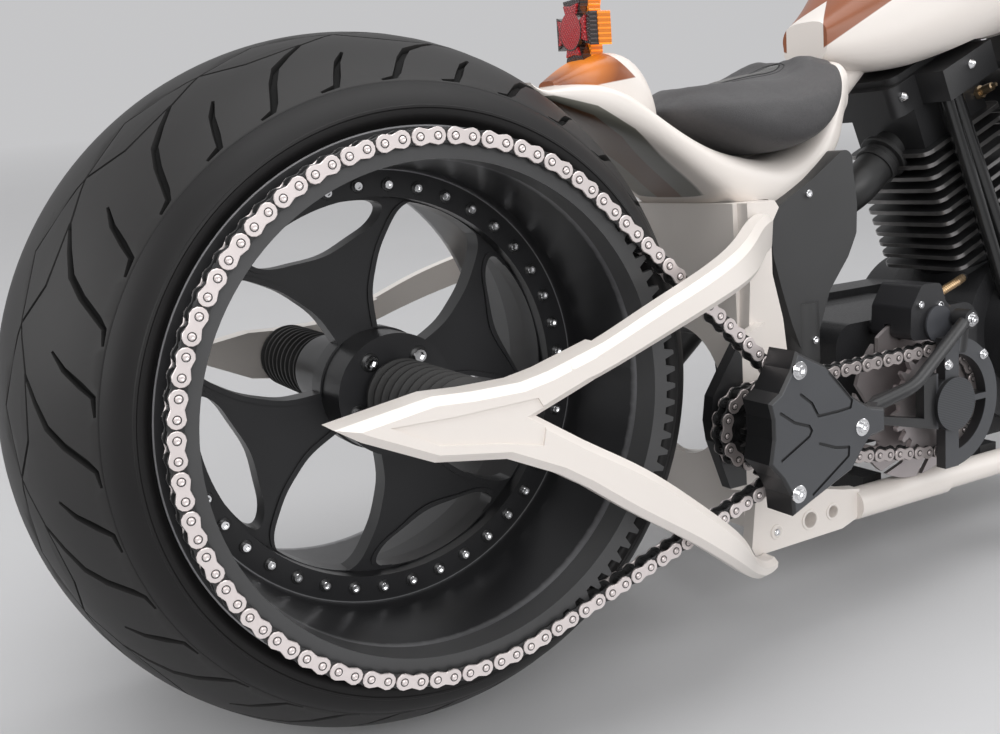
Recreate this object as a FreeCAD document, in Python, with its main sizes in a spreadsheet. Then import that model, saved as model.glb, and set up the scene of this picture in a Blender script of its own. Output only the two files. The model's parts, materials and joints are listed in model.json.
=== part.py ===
import FreeCAD, Part
import math
import os
import Sketcher
from types import SimpleNamespace
from FreeCAD import Placement, Rotation, Vector

# Custom motorcycle on a very wide rear tyre, with an outboard ring sprocket and forked swingarms.
# The bike is drawn upright: X forward, Y to the rider's left, Z up, from the ground under the rear axle.
# Every piece then leans as the bike does on its side stand.
# Tables of shares give places along X as shares of the pivot's reach and heights as shares of the wheel radius.

doc = FreeCAD.newDocument("motorcycle")
sheet = doc.addObject("Spreadsheet::Sheet", "sizes")
rows = []
nodes = {}


class Size:
    """A length or a count from the sheet, or a sum of such, with the expression that gives it."""

    def __init__(self, value, text):
        self.value = float(value)
        self.text = text

    def __float__(self):
        return self.value

    def __add__(self, other):
        return Size(self.value + float(other), f"({self.text} + {words(other)})")

    def __radd__(self, other):
        return Size(float(other) + self.value, f"({words(other)} + {self.text})")

    def __sub__(self, other):
        return Size(self.value - float(other), f"({self.text} - {words(other)})")

    def __rsub__(self, other):
        return Size(float(other) - self.value, f"({words(other)} - {self.text})")

    def __mul__(self, other):
        return Size(self.value * float(other), f"({self.text} * {words(other)})")

    def __rmul__(self, other):
        return Size(float(other) * self.value, f"({words(other)} * {self.text})")

    def __truediv__(self, other):
        return Size(self.value / float(other), f"({self.text} / {words(other)})")

    def __neg__(self):
        return Size(-self.value, f"(0 - {self.text})")

    def __lt__(self, other):
        return self.value < float(other)


def words(value):
    """The expression text of a size or of a plain number."""
    return value.text if isinstance(value, Size) else repr(float(value))


def sizes(**values):
    """Write plain numbers to the sheet, each with its own alias, and hand them back as sizes."""
    for alias, value in values.items():
        rows.append(alias)
        sheet.set(f"A{len(rows)}", alias)
        sheet.set(f"B{len(rows)}", repr(value))
        sheet.setAlias(f"B{len(rows)}", alias)
    return SimpleNamespace(**{alias: Size(value, "sizes." + alias) for alias, value in values.items()})


def cosd(angle):
    return Size(math.cos(math.radians(float(angle))), f"cos({words(angle)} * 1 deg)")


def sind(angle):
    return Size(math.sin(math.radians(float(angle))), f"sin({words(angle)} * 1 deg)")


def vec(x, y, z):
    return Vector(float(x), float(y), float(z))


def bind(item, name, size):
    item.setExpression(name, words(size))


def put(item, at, turn=Rotation()):
    item.Placement = Placement(vec(*at), turn)
    for letter, size in zip("xyz", at):
        if isinstance(size, Size):
            bind(item, "Placement.Base." + letter, size)


ALONG_X = Rotation(Vector(0, 1, 0), 90)
ALONG_Y = Rotation(Vector(1, 0, 0), -90)
ALONG_Z = Rotation()


def rod(radius, length, at, turn=ALONG_Y):
    """A cylinder that starts at a point and runs along the turned Z axis."""
    item = doc.addObject("Part::Cylinder", "rod")
    bind(item, "Radius", radius)
    bind(item, "Height", length)
    put(item, at, turn)
    return item


def block(low, high):
    item = doc.addObject("Part::Box", "block")
    for name, a, b in zip(("Length", "Width", "Height"), low, high):
        bind(item, name, b - a)
    put(item, low)
    return item


def sketch(points, at, turn):
    """A closed outline; a point with a third value starts an arc of that radius, minus for the other side."""
    item = doc.addObject("Sketcher::SketchObject", "sketch")
    put(item, at, turn)
    flat = [Vector(float(p[0]), float(p[1]), 0) for p in points]
    ends = []
    for i, point in enumerate(points):
        a = flat[i]
        b = flat[(i + 1) % len(flat)]
        if len(point) == 2:
            item.addGeometry(Part.LineSegment(a, b), False)
            ends.append((1, 2))
            continue
        radius = abs(float(point[2]))
        side = 1 if float(point[2]) > 0 else -1
        half = (b - a) * 0.5
        rise = math.sqrt(max(radius ** 2 - half.Length ** 2, 0))
        centre = a + half + Vector(-half.y, half.x, 0).normalize() * rise * side
        circle = Part.Circle(centre, Vector(0, 0, 1), radius)
        first, last = (a, b) if side > 0 else (b, a)
        item.addGeometry(Part.ArcOfCircle(circle, circle.parameter(first), circle.parameter(last)), False)
        ends.append((1, 2) if side > 0 else (2, 1))
    for i in range(len(points)):
        j = (i + 1) % len(points)
        item.addConstraint(Sketcher.Constraint("Coincident", i, ends[i][1], j, ends[j][0]))
    for i, point in enumerate(points):
        for kind, size, number in (("DistanceX", point[0], flat[i].x), ("DistanceY", point[1], flat[i].y)):
            index = item.addConstraint(Sketcher.Constraint(kind, -1, 1, i, ends[i][0], number))
            item.setExpression(f"Constraints[{index}]", words(size))
        if len(point) == 3:
            index = item.addConstraint(Sketcher.Constraint("Radius", i, abs(float(point[2]))))
            item.setExpression(f"Constraints[{index}]", f"abs({words(point[2])})")
    return item


def prism(points, start, depth):
    """An outline in X and Z, pushed along Y from its start."""
    item = doc.addObject("Part::Extrusion", "prism")
    item.Base = sketch(points, (0, start, 0), Rotation(Vector(1, 0, 0), 90))
    item.DirMode = "Custom"
    item.Dir = Vector(0, 1, 0)
    item.Solid = True
    bind(item, "LengthFwd", depth)
    return item


def turned(points):
    """An outline of radius and Y, turned about the Y axis."""
    item = doc.addObject("Part::Revolution", "turned")
    item.Source = sketch(points, (0, 0, 0), Rotation())
    item.Axis = Vector(0, 1, 0)
    item.Solid = True
    return item


def cut(base, *tools):
    for tool in tools:
        item = doc.addObject("Part::Cut", "cut")
        item.Base = base
        item.Tool = tool
        base = item
    return base


def fuse(*items):
    item = doc.addObject("Part::MultiFuse", "fuse")
    item.Shapes = list(items)
    return item


def feature(shape):
    item = doc.addObject("Part::Feature", "form")
    item.Shape = shape
    return item


def edge(points):
    """A straight edge between two points, or a smooth curve through more."""
    if len(points) == 2:
        return Part.LineSegment(*points).toShape()
    curve = Part.BSplineCurve()
    curve.interpolate(points)
    return curve.toShape()


def outline_face(runs, y):
    """A face in X and Z whose border is made of runs of points, each run smooth."""
    runs = [[vec(x, y, z) for x, z in run] for run in runs]
    joined = []
    for i, run in enumerate(runs):
        joined.append(edge(run + [runs[(i + 1) % len(runs)][0]]))
    return Part.Face(Part.Wire(joined))


def oval(x, z, wide, high, power_share, turn=0):
    """A closed smooth section across X: a rounded box of half width and half height."""
    points = []
    for k in range(16):
        a = math.radians(22.5 * k)
        c = math.copysign(abs(math.cos(a)) ** power_share, math.cos(a))
        d = math.copysign(abs(math.sin(a)) ** power_share, math.sin(a))
        points.append(vec(x, 0, z) + Rotation(Vector(0, 1, 0), turn).multVec(vec(0, wide * c, high * d)))
    curve = Part.BSplineCurve()
    curve.interpolate(points, PeriodicFlag=True)
    return Part.Wire(curve.toShape())


def tube_path(points, bends):
    """Straight runs joined by arcs that touch both."""
    edges = []
    last = points[0]
    for i in range(1, len(points) - 1):
        a = (points[i - 1] - points[i]).normalize()
        b = (points[i + 1] - points[i]).normalize()
        half = math.acos(max(-1, min(1, a.dot(b)))) / 2
        reach = bends / math.tan(half)
        first = points[i] + a * reach
        end = points[i] + b * reach
        middle = points[i] + (a + b).normalize() * (bends / math.sin(half) - bends)
        edges.append(Part.LineSegment(last, first).toShape())
        edges.append(Part.Arc(first, middle, end).toShape())
        last = end
    edges.append(Part.LineSegment(last, points[-1]).toShape())
    return Part.Wire(edges)


def tube(points, radius, bends):
    """A round bar along straight runs and arcs."""
    path = tube_path(points, float(bends))
    direction = (points[1] - points[0]).normalize()
    ring = Part.Wire(Part.makeCircle(float(radius), points[0], direction))
    return path.makePipeShell([ring], True, True)


def pole(radius, start, end):
    """A round bar between two points."""
    return Part.makeCylinder(float(radius), (end - start).Length, start, end - start)


def disk(radius, x, z, low, high):
    """A round piece across the bike, from one Y to another."""
    return Part.makeCylinder(float(radius), float(high - low), vec(x, low, z), Vector(0, 1, 0))


def ring(outer, inner, x, z, low, high):
    return disk(outer, x, z, low, high).cut(disk(inner, x, z, low, high))


def slab(x, y, z):
    """A box from its pairs of low and high places."""
    return Part.makeBox(*[float(b - a) for a, b in (x, y, z)], vec(x[0], y[0], z[0]))


def rounded(shape, radius, way):
    """Round the straight edges that run one way."""
    picked = [e for e in shape.Edges if e.Curve.TypeId == "Part::GeomLine"
              and abs(abs(e.tangentAt(e.FirstParameter).dot(way)) - 1) < 0.001]
    return shape.makeFillet(float(radius), picked)


def deliver(label, item, at=(0, 0, 0), turn=Rotation()):
    """Name a finished piece and stand it in its place on the leaning bike."""
    item.Label = label
    item.Placement = LEAN.multiply(Placement(vec(*at), turn))
    nodes[label] = item
    return item


def one_solid(shape):
    """The largest solid, without the crumbs that a cut leaves."""
    return max(shape.Solids, key=lambda solid: solid.Volume)


# Whole bike
bike = sizes(
    lean_angle=9.0,
    rear_radius=336.5,
    rear_crown=230.0,
    rear_section=105.5,
    front_radius=344.0,
    front_crown=64.0,
    front_section=76.0,
    front_drop=2.07,
    rake=40.0,
    fork_offset=83.4,
    head_ahead=459.0,
    head_height=864.0,
    pivot_gap=87.5,
    axle_radius=12.5,
    running_gap=0.05,
    seat_gap=0.15,
    body_gap=0.3,
    moving_gap=6.0,
    overrun=5.0,
    arm_outer=262.0,
    arm_depth=34.0,
    arm_skin=10.0,
    chain_plane=192.5,
    chain_pitch=15.875,
    chain_roller=5.0,
    ring_teeth=92,
    drive_teeth=17,
    drive_back=59.0,
    drive_drop=87.2,
    output_ahead=216.0,
    output_drop=106.5,
    inner_plane=150.0,
    output_teeth=24,
    inner_teeth=15,
    crank_ahead=490.0,
    crank_drop=74.5,
    cylinder_tilt=22.5,
    plate_inner=104.0,
    plate_outer=120.0,
    rail_radius=15.5,
    rail_height=114.0,
    stem_radius=14.0,
    head_tube=30.0,
    head_length=160.0,
    rim_lip=16.0,
    rim_wall=6.0,
    rim_half=166.0,
    disc_near=72.0,
    disc_far=54.0,
    hub_radius=38.0,
)
R = bike.rear_radius
PIVOT_X = R + bike.pivot_gap
DRIVE_X = PIVOT_X - bike.drive_back
DRIVE_Z = R - bike.drive_drop
OUTPUT_X = PIVOT_X + bike.output_ahead
OUTPUT_Z = R - bike.output_drop
CRANK_X = PIVOT_X + bike.crank_ahead
CRANK_Z = R - bike.crank_drop
HEAD_X = CRANK_X + bike.head_ahead
FORK_LENGTH = (bike.head_height - bike.front_radius + bike.front_drop
               + bike.fork_offset * sind(bike.rake)) / cosd(bike.rake)
AXLE_X = HEAD_X + FORK_LENGTH * sind(bike.rake) + bike.fork_offset * cosd(bike.rake)
AXLE_Z = bike.front_radius - bike.front_drop
RIM = R - bike.rear_section
BARREL = RIM - bike.rim_lip - bike.rim_wall
TILT = math.radians(float(bike.lean_angle))
LEAN = Placement(
    vec(0, 0, bike.rear_crown * (1 - math.cos(TILT))), Rotation(Vector(1, 0, 0), -float(bike.lean_angle)))
HUB = (0, 0, R)
GROUND_RISE = float(bike.rear_crown) * (1 - math.cos(TILT)) / math.cos(TILT)


def spot(x_share, y, z_share):
    """A point from shares of the pivot's reach and of the wheel radius."""
    return vec(PIVOT_X * x_share, y, R * z_share)


def plate_between(shares, low, high):
    """A flat plate whose outline runs straight between points given in shares."""
    corners = [spot(x, low, z) for x, z in shares]
    return Part.Face(Part.makePolygon(corners + corners[:1])).extrude(vec(0, high - low, 0))


def pitch_radius(teeth):
    return bike.chain_pitch / (2 * sind(Size(180, "180") / teeth))


RING_R = pitch_radius(bike.ring_teeth)
DRIVE_R = pitch_radius(bike.drive_teeth)


def tyre(label, radius, crown, half, shoulder_share, bulge_share, bead_radius, bead_half, wall, at):
    """A solid tyre: crown arc between the shoulders, bulged sidewalls, square beads on the rim."""
    y = half * shoulder_share
    edge_radius = radius - crown + Size(
        math.sqrt(float(crown) ** 2 - float(y) ** 2), f"sqrt({words(crown)}^2 - {words(y)}^2)")
    bulge = bead_radius + (edge_radius - bead_radius) * bulge_share
    points = [
        (bead_radius, -bead_half), (bead_radius + wall, -bead_half), (bulge, -half),
        (edge_radius, -y, crown), (edge_radius, y), (bulge, half),
        (bead_radius + wall, bead_half), (bead_radius, bead_half)]
    deliver(label, turned(points), at)


def rear_tyre():
    s = sizes(rear_tyre_half=176.0, rear_shoulder_share=0.82, rear_bulge_share=0.55, rear_bead_half=158.0,
              rear_bead_wall=14.0)
    tyre("rear_tyre", R, bike.rear_crown, s.rear_tyre_half, s.rear_shoulder_share, s.rear_bulge_share,
         RIM, s.rear_bead_half, s.rear_bead_wall, HUB)
    return s


def rear_rim(s):
    v = sizes(rim_flange=12.0)
    flange = RIM + v.rim_flange
    lip = RIM - bike.rim_lip
    f = s.rear_bead_half + bike.seat_gap
    o = RIM - bike.seat_gap
    points = [
        (BARREL, -bike.disc_near - bike.overrun), (lip, -bike.rim_half), (flange, -bike.rim_half),
        (flange, -f), (o, -f), (o, f), (flange, f), (flange, bike.rim_half), (lip, bike.rim_half),
        (BARREL, bike.disc_near)]
    deliver("rear_rim", turned(points), HUB)


def toothed(teeth, plane, half, bore, start_angle=0):
    """A sprocket plate in the plane of X and Z about the Y axis, with a round-footed notch per roller."""
    count = int(float(teeth))
    radius = float(pitch_radius(teeth))
    rise = float(bike.chain_roller)
    tip_share, root_share = 0.12, 0.30
    step = 2 * math.pi / count
    points = []
    for k in range(count):
        middle = math.radians(start_angle) + (k + 0.5) * step
        for reach, share in ((-rise, -root_share), (rise, -tip_share), (rise, tip_share),
                             (-rise, root_share)):
            a = middle + share * step
            points.append(vec((radius + reach) * math.cos(a), plane - half, (radius + reach) * math.sin(a)))
    face = Part.Face(Part.makePolygon(points + points[:1]))
    return face.extrude(vec(0, 2 * half, 0)).cut(disk(bore, 0, 0, plane - half, plane + half))


def sprocket_ring():
    s = sizes(ring_bore=214.0, ring_half=2.5, ring_sleeve=224.0, ring_phase=80.54)
    plate = toothed(bike.ring_teeth, -bike.chain_plane, s.ring_half, s.ring_bore, float(s.ring_phase))
    low = -bike.chain_plane + s.ring_half
    high = -bike.rim_half - bike.seat_gap
    sleeve = ring(s.ring_sleeve, s.ring_bore, 0, 0, low, high)
    deliver("sprocket_ring", feature(plate.fuse(sleeve).removeSplitter()), HUB)


def flared_disc(outer, hub, low, high, lip, arm_angle):
    """A disc with four flared arms: rounded petal openings between them, a lens opening in each, all lipped."""
    petal_shares = ((0.287, 24.0), (0.369, 26.0), (0.455, 26.3), (0.541, 24.5), (0.642, 22.0),
                    (0.742, 18.7),
                    (0.828, 15.5), (0.868, 12.5))
    lens_shares = ((0.862, 19.0), (0.826, 23.5), (0.770, 21.5), (0.705, 13.5), (0.662, 0.0))
    petal_end_share, lens_end_share = 0.874, 0.872
    r = float(outer)
    thick = high - low
    reach = thick + 2 * bike.overrun

    def polar(radius, degrees, y):
        a = math.radians(degrees)
        return vec(radius * math.cos(a), y, radius * math.sin(a))

    def petal(middle, grow, y):
        sides = []
        for way in (-1, 1):
            sides.append([polar(r * share, middle + way * (half + math.degrees(grow / (r * share))), y)
                          for share, half in petal_shares])
        foot = polar(r * petal_shares[0][0] - grow, middle, y)
        end = polar(r * petal_end_share + grow / 2, middle, y)
        runs = [edge(sides[0]), Part.Arc(sides[0][-1], end, sides[1][-1]).toShape(), edge(sides[1][::-1]),
                Part.Arc(sides[1][0], foot, sides[0][0]).toShape()]
        return Part.Face(Part.Wire(runs))

    def lens(middle, grow, y):
        def spots(way):
            return [polar(r * share - grow * (1 - half / lens_shares[1][1]),
                          middle + way * (half + math.degrees(grow * half / lens_shares[1][1] / (r * share))), y)
                    for share, half in lens_shares]
        one, two = spots(-1), spots(1)
        end = polar(r * lens_end_share + grow / 2, middle, y)
        return Part.Face(Part.Wire([edge(one + two[-2::-1]), Part.Arc(two[0], end, one[0]).toShape()]))

    plate = disk(outer, 0, 0, low, high)
    lips = []
    holes = []
    for k in range(4):
        arm = float(arm_angle) + 90 * k
        for make, middle in ((petal, arm + 45), (lens, arm)):
            lips.append(make(middle, float(lip), float(low - lip / 2)).extrude(vec(0, thick + lip, 0)))
            holes.append(make(middle, 0, float(low - bike.overrun)).extrude(vec(0, reach, 0)))
    return plate.fuse(lips).cut(holes).fuse(disk(hub, 0, 0, low, high))


def rear_wheel_centre():
    s = sizes(hub_flange=58.0, hub_near=82.0, hub_far=96.0, petal_lip=5.0, arm_angle=16.5, plate_near=36.0,
              plate_far=18.0, seat_near=54.0, seat_inner=183.0)
    outer = BARREL - bike.seat_gap
    disc = flared_disc(outer, s.hub_flange, -s.plate_near, -s.plate_far, s.petal_lip, s.arm_angle)
    seat = ring(outer, s.seat_inner, 0, 0, -s.seat_near, -s.plate_far)
    flange = disk(s.hub_flange, 0, 0, -s.hub_near, -s.plate_far)
    barrel = disk(bike.hub_radius, 0, 0, -s.hub_near, s.hub_far)
    bore = disk(bike.axle_radius + bike.running_gap, 0, 0, -2 * s.hub_far, 2 * s.hub_far)
    deliver("rear_wheel_centre", feature(disc.fuse([seat, flange, barrel]).cut(bore)), HUB)
    return s


def rear_axle():
    r = bike.axle_radius
    e = bike.arm_outer - bike.arm_skin
    deliver("rear_axle", turned([(0, -e), (r, -e), (r, e), (0, e)]), HUB)


def bellows(label, start, end):
    """A ribbed rubber boot on the axle."""
    s = sizes(**{label + "_root": 28.0, label + "_rib": 8.0, label + "_count": 9})
    root = getattr(s, label + "_root")
    rib = root + getattr(s, label + "_rib")
    count = int(float(getattr(s, label + "_count")))
    step = (end - start) / count
    bore = bike.axle_radius + bike.seat_gap
    points = [(bore, start), (root, start)]
    for k in range(count):
        points += [(root, start + step * (k + 0.2)), (rib, start + step * (k + 0.4)),
                   (rib, start + step * (k + 0.6)), (root, start + step * (k + 0.8))]
    points += [(root, end), (bore, end)]
    deliver(label, turned(points), HUB)


def limb(stations, side, bevel):
    """A bar lofted through bevelled sections, each with its top and low points, outer place and depth."""
    wires = []
    for top_x, top_z, low_x, low_z, outer, depth in stations:
        top = spot(top_x, 0, top_z)
        low = spot(low_x, 0, low_z)
        reach = top - low
        c = min(float(bevel) / reach.Length, 0.3)
        y0 = float(outer)
        y1 = y0 - float(depth)
        b = float(bevel)
        rim = ((c, y0), (1 - c, y0), (1, y0 - b), (1, y1), (0, y1), (0, y0 - b))
        points = [low + reach * share + Vector(0, side * y, 0) for share, y in rim]
        wires.append(Part.makePolygon(points + points[:1]))
    return Part.makeLoft(wires, True)


def swingarm(label, side):
    """A spear blade on the axle, and two prongs that curve inwards round the tyre to the frame."""
    s = sizes(**{label + "_bevel": 7.0, label + "_inlay": 20.0, label + "_inlay_depth": 2.0,
                 label + "_prong": 24.0})
    bevel, inlay, inlay_depth, prong = [getattr(s, label + end) for end in (
        "_bevel", "_inlay", "_inlay_depth", "_prong")]
    blade_shares = (
        (-0.300, 1.061), (-0.106, 1.097), (-0.024, 1.091), (0.083, 1.091), (0.146, 1.105),
        (0.278, 1.151), (0.255, 1.063), (0.217, 1.046), (0.113, 1.001), (0.217, 0.915), (0.264, 0.879),
        (0.226, 0.784), (0.156, 0.841), (0.042, 0.909), (-0.111, 0.939), (-0.252, 1.022))
    outer = bike.arm_outer
    mid = outer - bevel
    low = outer - bike.arm_depth
    back = [spot(x, side * low, z) for x, z in blade_shares]
    body = Part.Face(Part.makePolygon(back + back[:1])).extrude(vec(0, side * (mid - low), 0))
    rim = Part.makePolygon([spot(x, side * mid, z) for x, z in blade_shares + blade_shares[:1]])
    small = rim.makeOffset2D(-float(bevel), 2)
    small.translate(vec(0, side * bevel, 0))
    crown = Part.makeLoft([rim, small], True, True)
    panel_shares = (
        (-0.198, 1.046), (-0.066, 1.043), (0.113, 1.049), (0.132, 1.004), (0.118, 0.927),
        (0.028, 0.954), (-0.104, 0.981))
    cut_y = side * (outer - inlay_depth)
    panel = [spot(x, cut_y, z) for x, z in panel_shares]
    pocket = Part.Face(Part.makePolygon(panel + panel[:1])).extrude(vec(0,
                                                                        side * (inlay_depth + bike.overrun),
                                                                        0))
    end = bike.plate_outer + bike.seat_gap
    stations = []
    for x1, z1, x0, z0, share in (
        (0.198, 1.123, 0.179, 1.040, 1.000), (0.278, 1.151, 0.255, 1.063, 1.000),
        (0.401, 1.210, 0.384, 1.114, 0.990), (0.552, 1.269, 0.566, 1.177, 0.900),
        (0.679, 1.316, 0.698, 1.215, 0.755), (0.797, 1.355, 0.814, 1.242, 0.480),
        (0.892, 1.379, 0.896, 1.260, 0.210), (0.972, 1.385, 0.962, 1.266, 0.000)):
        stations.append((x1, z1, x0, z0, end + prong + (outer - end - prong) * share, prong))
    upper = limb(stations, side, bevel)
    stations = []
    for x1, z1, x0, z0, share in (
        (0.198, 0.930, 0.160, 0.837, 1.000), (0.264, 0.879, 0.226, 0.784, 1.000),
        (0.377, 0.790, 0.335, 0.684, 0.990), (0.514, 0.660, 0.481, 0.562, 0.930),
        (0.637, 0.538, 0.604, 0.452, 0.800), (0.750, 0.419, 0.726, 0.345, 0.520),
        (0.854, 0.315, 0.840, 0.256, 0.200), (0.953, 0.273, 0.948, 0.232, 0.000)):
        stations.append((x1, z1, x0, z0, end + prong + (outer - end - prong) * share, prong))
    lower = limb(stations, side, bevel)
    shape = body.fuse([crown, upper, lower])
    reach = outer - bike.arm_skin + bike.seat_gap
    shape = shape.cut([pocket, disk(bike.axle_radius + bike.seat_gap, 0, R, -reach, reach)])
    deliver(label, feature(shape.removeSplitter()))


def chain_loop(x1, z1, r1, x2, z2, r2, grow):
    """A smooth belt outline round two circles, moved outwards by grow."""
    dx = x2 - x1
    dz = z2 - z1
    gap = math.hypot(dx, dz)
    base = math.atan2(dz, dx)
    half = math.acos((r1 - r2) / gap)
    a = r1 + grow
    b = r2 + grow
    spots = [vec(x + r * math.cos(t), 0, z + r * math.sin(t)) for x, z, r, t in (
        (x1, z1, a, base + half), (x2, z2, b, base + half), (x2, z2, b, base), (x2, z2, b, base - half),
        (x1, z1, a, base - half), (x1, z1, a, base + math.pi))]
    edges = [Part.LineSegment(spots[0], spots[1]).toShape(), Part.Arc(*spots[1:4]).toShape(),
             Part.LineSegment(spots[3], spots[4]).toShape(),
             Part.Arc(spots[4], spots[5], spots[0]).toShape()]
    return Part.Face(Part.Wire(edges))


def chain_places(x1, z1, r1, x2, z2, r2, count):
    """Evenly spaced places round two circles: each with its outward direction, from the loop's far back."""
    gap = math.hypot(x2 - x1, z2 - z1)
    base = math.atan2(z2 - z1, x2 - x1)
    half = math.acos((r1 - r2) / gap)
    run = math.sqrt(gap ** 2 - (r1 - r2) ** 2)
    wrap1 = r1 * 2 * (math.pi - half)
    wrap2 = r2 * 2 * half
    total = wrap1 + wrap2 + 2 * run
    places = []
    for k in range(count):
        s = total * k / count
        if s < wrap1 / 2 or s > total - wrap1 / 2:
            t = base + math.pi - (s if s < wrap1 / 2 else s - total) / r1
            places.append((x1 + r1 * math.cos(t), z1 + r1 * math.sin(t), t))
        elif s < wrap1 / 2 + run or s > total - wrap1 / 2 - run:
            upper = s < wrap1 / 2 + run
            t = base + (half if upper else -half)
            share = ((s if upper else total - s) - wrap1 / 2) / run
            a = (x1 + r1 * math.cos(t), z1 + r1 * math.sin(t))
            b = (x2 + r2 * math.cos(t), z2 + r2 * math.sin(t))
            places.append((a[0] + (b[0] - a[0]) * share, a[1] + (b[1] - a[1]) * share, t))
        else:
            t = base + half - (s - wrap1 / 2 - run) / r2
            places.append((x2 + r2 * math.cos(t), z2 + r2 * math.sin(t), t))
    return places, total


def link_outline(args, rise, waist):
    """A belt outline with a waist between the pins of every link."""
    total = chain_places(*args, 4)[1]
    links = int(round(total / float(bike.chain_pitch)))
    corners = []
    for k, (x, z, t) in enumerate(chain_places(*args, 4 * links)[0]):
        reach = float(rise) if k % 4 in (0, 1) else float(rise - waist)
        corners.append(vec(x + reach * math.cos(t), 0, z + reach * math.sin(t)))
    return Part.Face(Part.makePolygon(corners + corners[:1]))


def chain(big, small, plane, s, pins, waisted):
    """Two plate loops on either side of the teeth, held by pins on the free runs."""
    args = [float(v) for v in big + small]
    smooth = chain_loop(*args, float(s.chain_rise)).cut(chain_loop(*args, -float(s.chain_rise)))
    links = smooth
    if waisted:
        links = link_outline(args, s.chain_rise, s.chain_waist).cut(
            link_outline(args, -s.chain_rise, -s.chain_waist))
    shape = None
    for low, face in ((-plane - s.chain_half, links), (-plane + s.chain_half - s.chain_plate, smooth)):
        loop = face.copy()
        loop.translate(vec(0, low, 0))
        loop = loop.extrude(vec(0, s.chain_plate, 0))
        shape = loop if shape is None else shape.fuse(loop)
    x1, z1, r1, x2, z2, r2 = args
    base = math.atan2(z2 - z1, x2 - x1)
    turn = math.acos((r1 - r2) / math.hypot(x2 - x1, z2 - z1))
    bars = []
    for a in (base + turn, base - turn):
        p = vec(x1 + r1 * math.cos(a), -plane - s.chain_half, z1 + r1 * math.sin(a))
        q = vec(x2 + r2 * math.cos(a), -plane - s.chain_half, z2 + r2 * math.sin(a))
        for share in pins:
            at = p + (q - p) * share
            bars.append(pole(bike.chain_roller, at, at + vec(0, 2 * s.chain_half, 0)))
    return shape.fuse(bars)


def chains():
    s = sizes(chain_half=11.5, chain_plate=3.5, chain_rise=7.5, chain_waist=2.5)
    small = (DRIVE_X, DRIVE_Z, DRIVE_R)
    pin_shares = (0.3, 0.45, 0.6, 0.8)
    whole = chain((Size(0, "0"), R, RING_R), small, bike.chain_plane, s, pin_shares, True)
    deliver("drive_chain", feature(whole))
    t = sizes(inner_half=9.5)
    s.chain_half = t.inner_half
    small = (DRIVE_X, DRIVE_Z, pitch_radius(bike.inner_teeth))
    big = (OUTPUT_X, OUTPUT_Z, pitch_radius(bike.output_teeth))
    pin_shares = (0.2, 0.5, 0.8)
    deliver("inner_chain", feature(chain(big, small, bike.inner_plane, s, pin_shares, False)))
    return s


def jackshaft():
    s = sizes(jack_radius=17.0, jack_inner=121.0, jack_outer=206.0, drive_half=3.0, boss_radius=22.0,
              drive_phase=28.84,
              window_radius=6.0, window_reach=30.0, window_count=5)
    core = disk(s.jack_radius, 0, 0, -s.jack_outer, -s.jack_inner)
    boss = disk(s.boss_radius, 0, 0, -bike.chain_plane - 3 * s.drive_half, -bike.inner_plane)
    front = toothed(bike.drive_teeth, -bike.chain_plane, s.drive_half, s.jack_radius - bike.running_gap,
                    float(s.drive_phase))
    holes = []
    for k in range(int(float(s.window_count))):
        a = 2 * math.pi * k / float(s.window_count)
        holes.append(disk(s.window_radius, s.window_reach * math.cos(a), s.window_reach * math.sin(a),
                          -2 * bike.chain_plane, 0))
    inner = toothed(bike.inner_teeth, -bike.inner_plane, s.drive_half, s.jack_radius - bike.running_gap)
    shape = core.fuse([boss, front.cut(holes), inner])
    deliver("jackshaft", feature(shape), (DRIVE_X, 0, DRIVE_Z))
    return s


def output_rotor():
    """The rear brake's slotted rotor and the output sprocket on one shaft."""
    s = sizes(rotor_radius=98.0, rotor_plane=122.0, rotor_half=2.5, output_half=3.0, output_shaft=16.0,
              output_end=178.0, slot_radius=3.5, slot_length=34.0, slot_reach=78.0, slot_angle=55.0,
              slot_count=10)
    low = -s.rotor_plane - s.rotor_half
    rotor = disk(s.rotor_radius, 0, 0, low, -s.rotor_plane + s.rotor_half)
    slots = []
    for k in range(int(float(s.slot_count))):
        a = 360 * k / float(s.slot_count)
        slot = disk(s.slot_radius, 0, 0, low, low + 2 * s.rotor_half).fuse([
            disk(s.slot_radius, s.slot_length, 0, low, low + 2 * s.rotor_half),
            slab((0, s.slot_length), (low, low + 2 * s.rotor_half), (-s.slot_radius, s.slot_radius))])
        slot.rotate(Vector(), Vector(0, 1, 0), float(s.slot_angle))
        slot.translate(vec(s.slot_reach, 0, 0))
        slot.rotate(Vector(), Vector(0, 1, 0), a)
        slots.append(slot)
    teeth = toothed(bike.output_teeth, -bike.inner_plane, s.output_half, s.output_shaft - bike.running_gap)
    shaft = disk(s.output_shaft, 0, 0, -s.output_end, -engine_sizes.gear_side - bike.seat_gap)
    hub = disk(2 * s.output_shaft, 0, 0, low - 2 * s.rotor_half, low)
    deliver("output_rotor", feature(shaft.fuse([rotor.cut(slots), teeth, hub])), (OUTPUT_X, 0, OUTPUT_Z))
    return s


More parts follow.
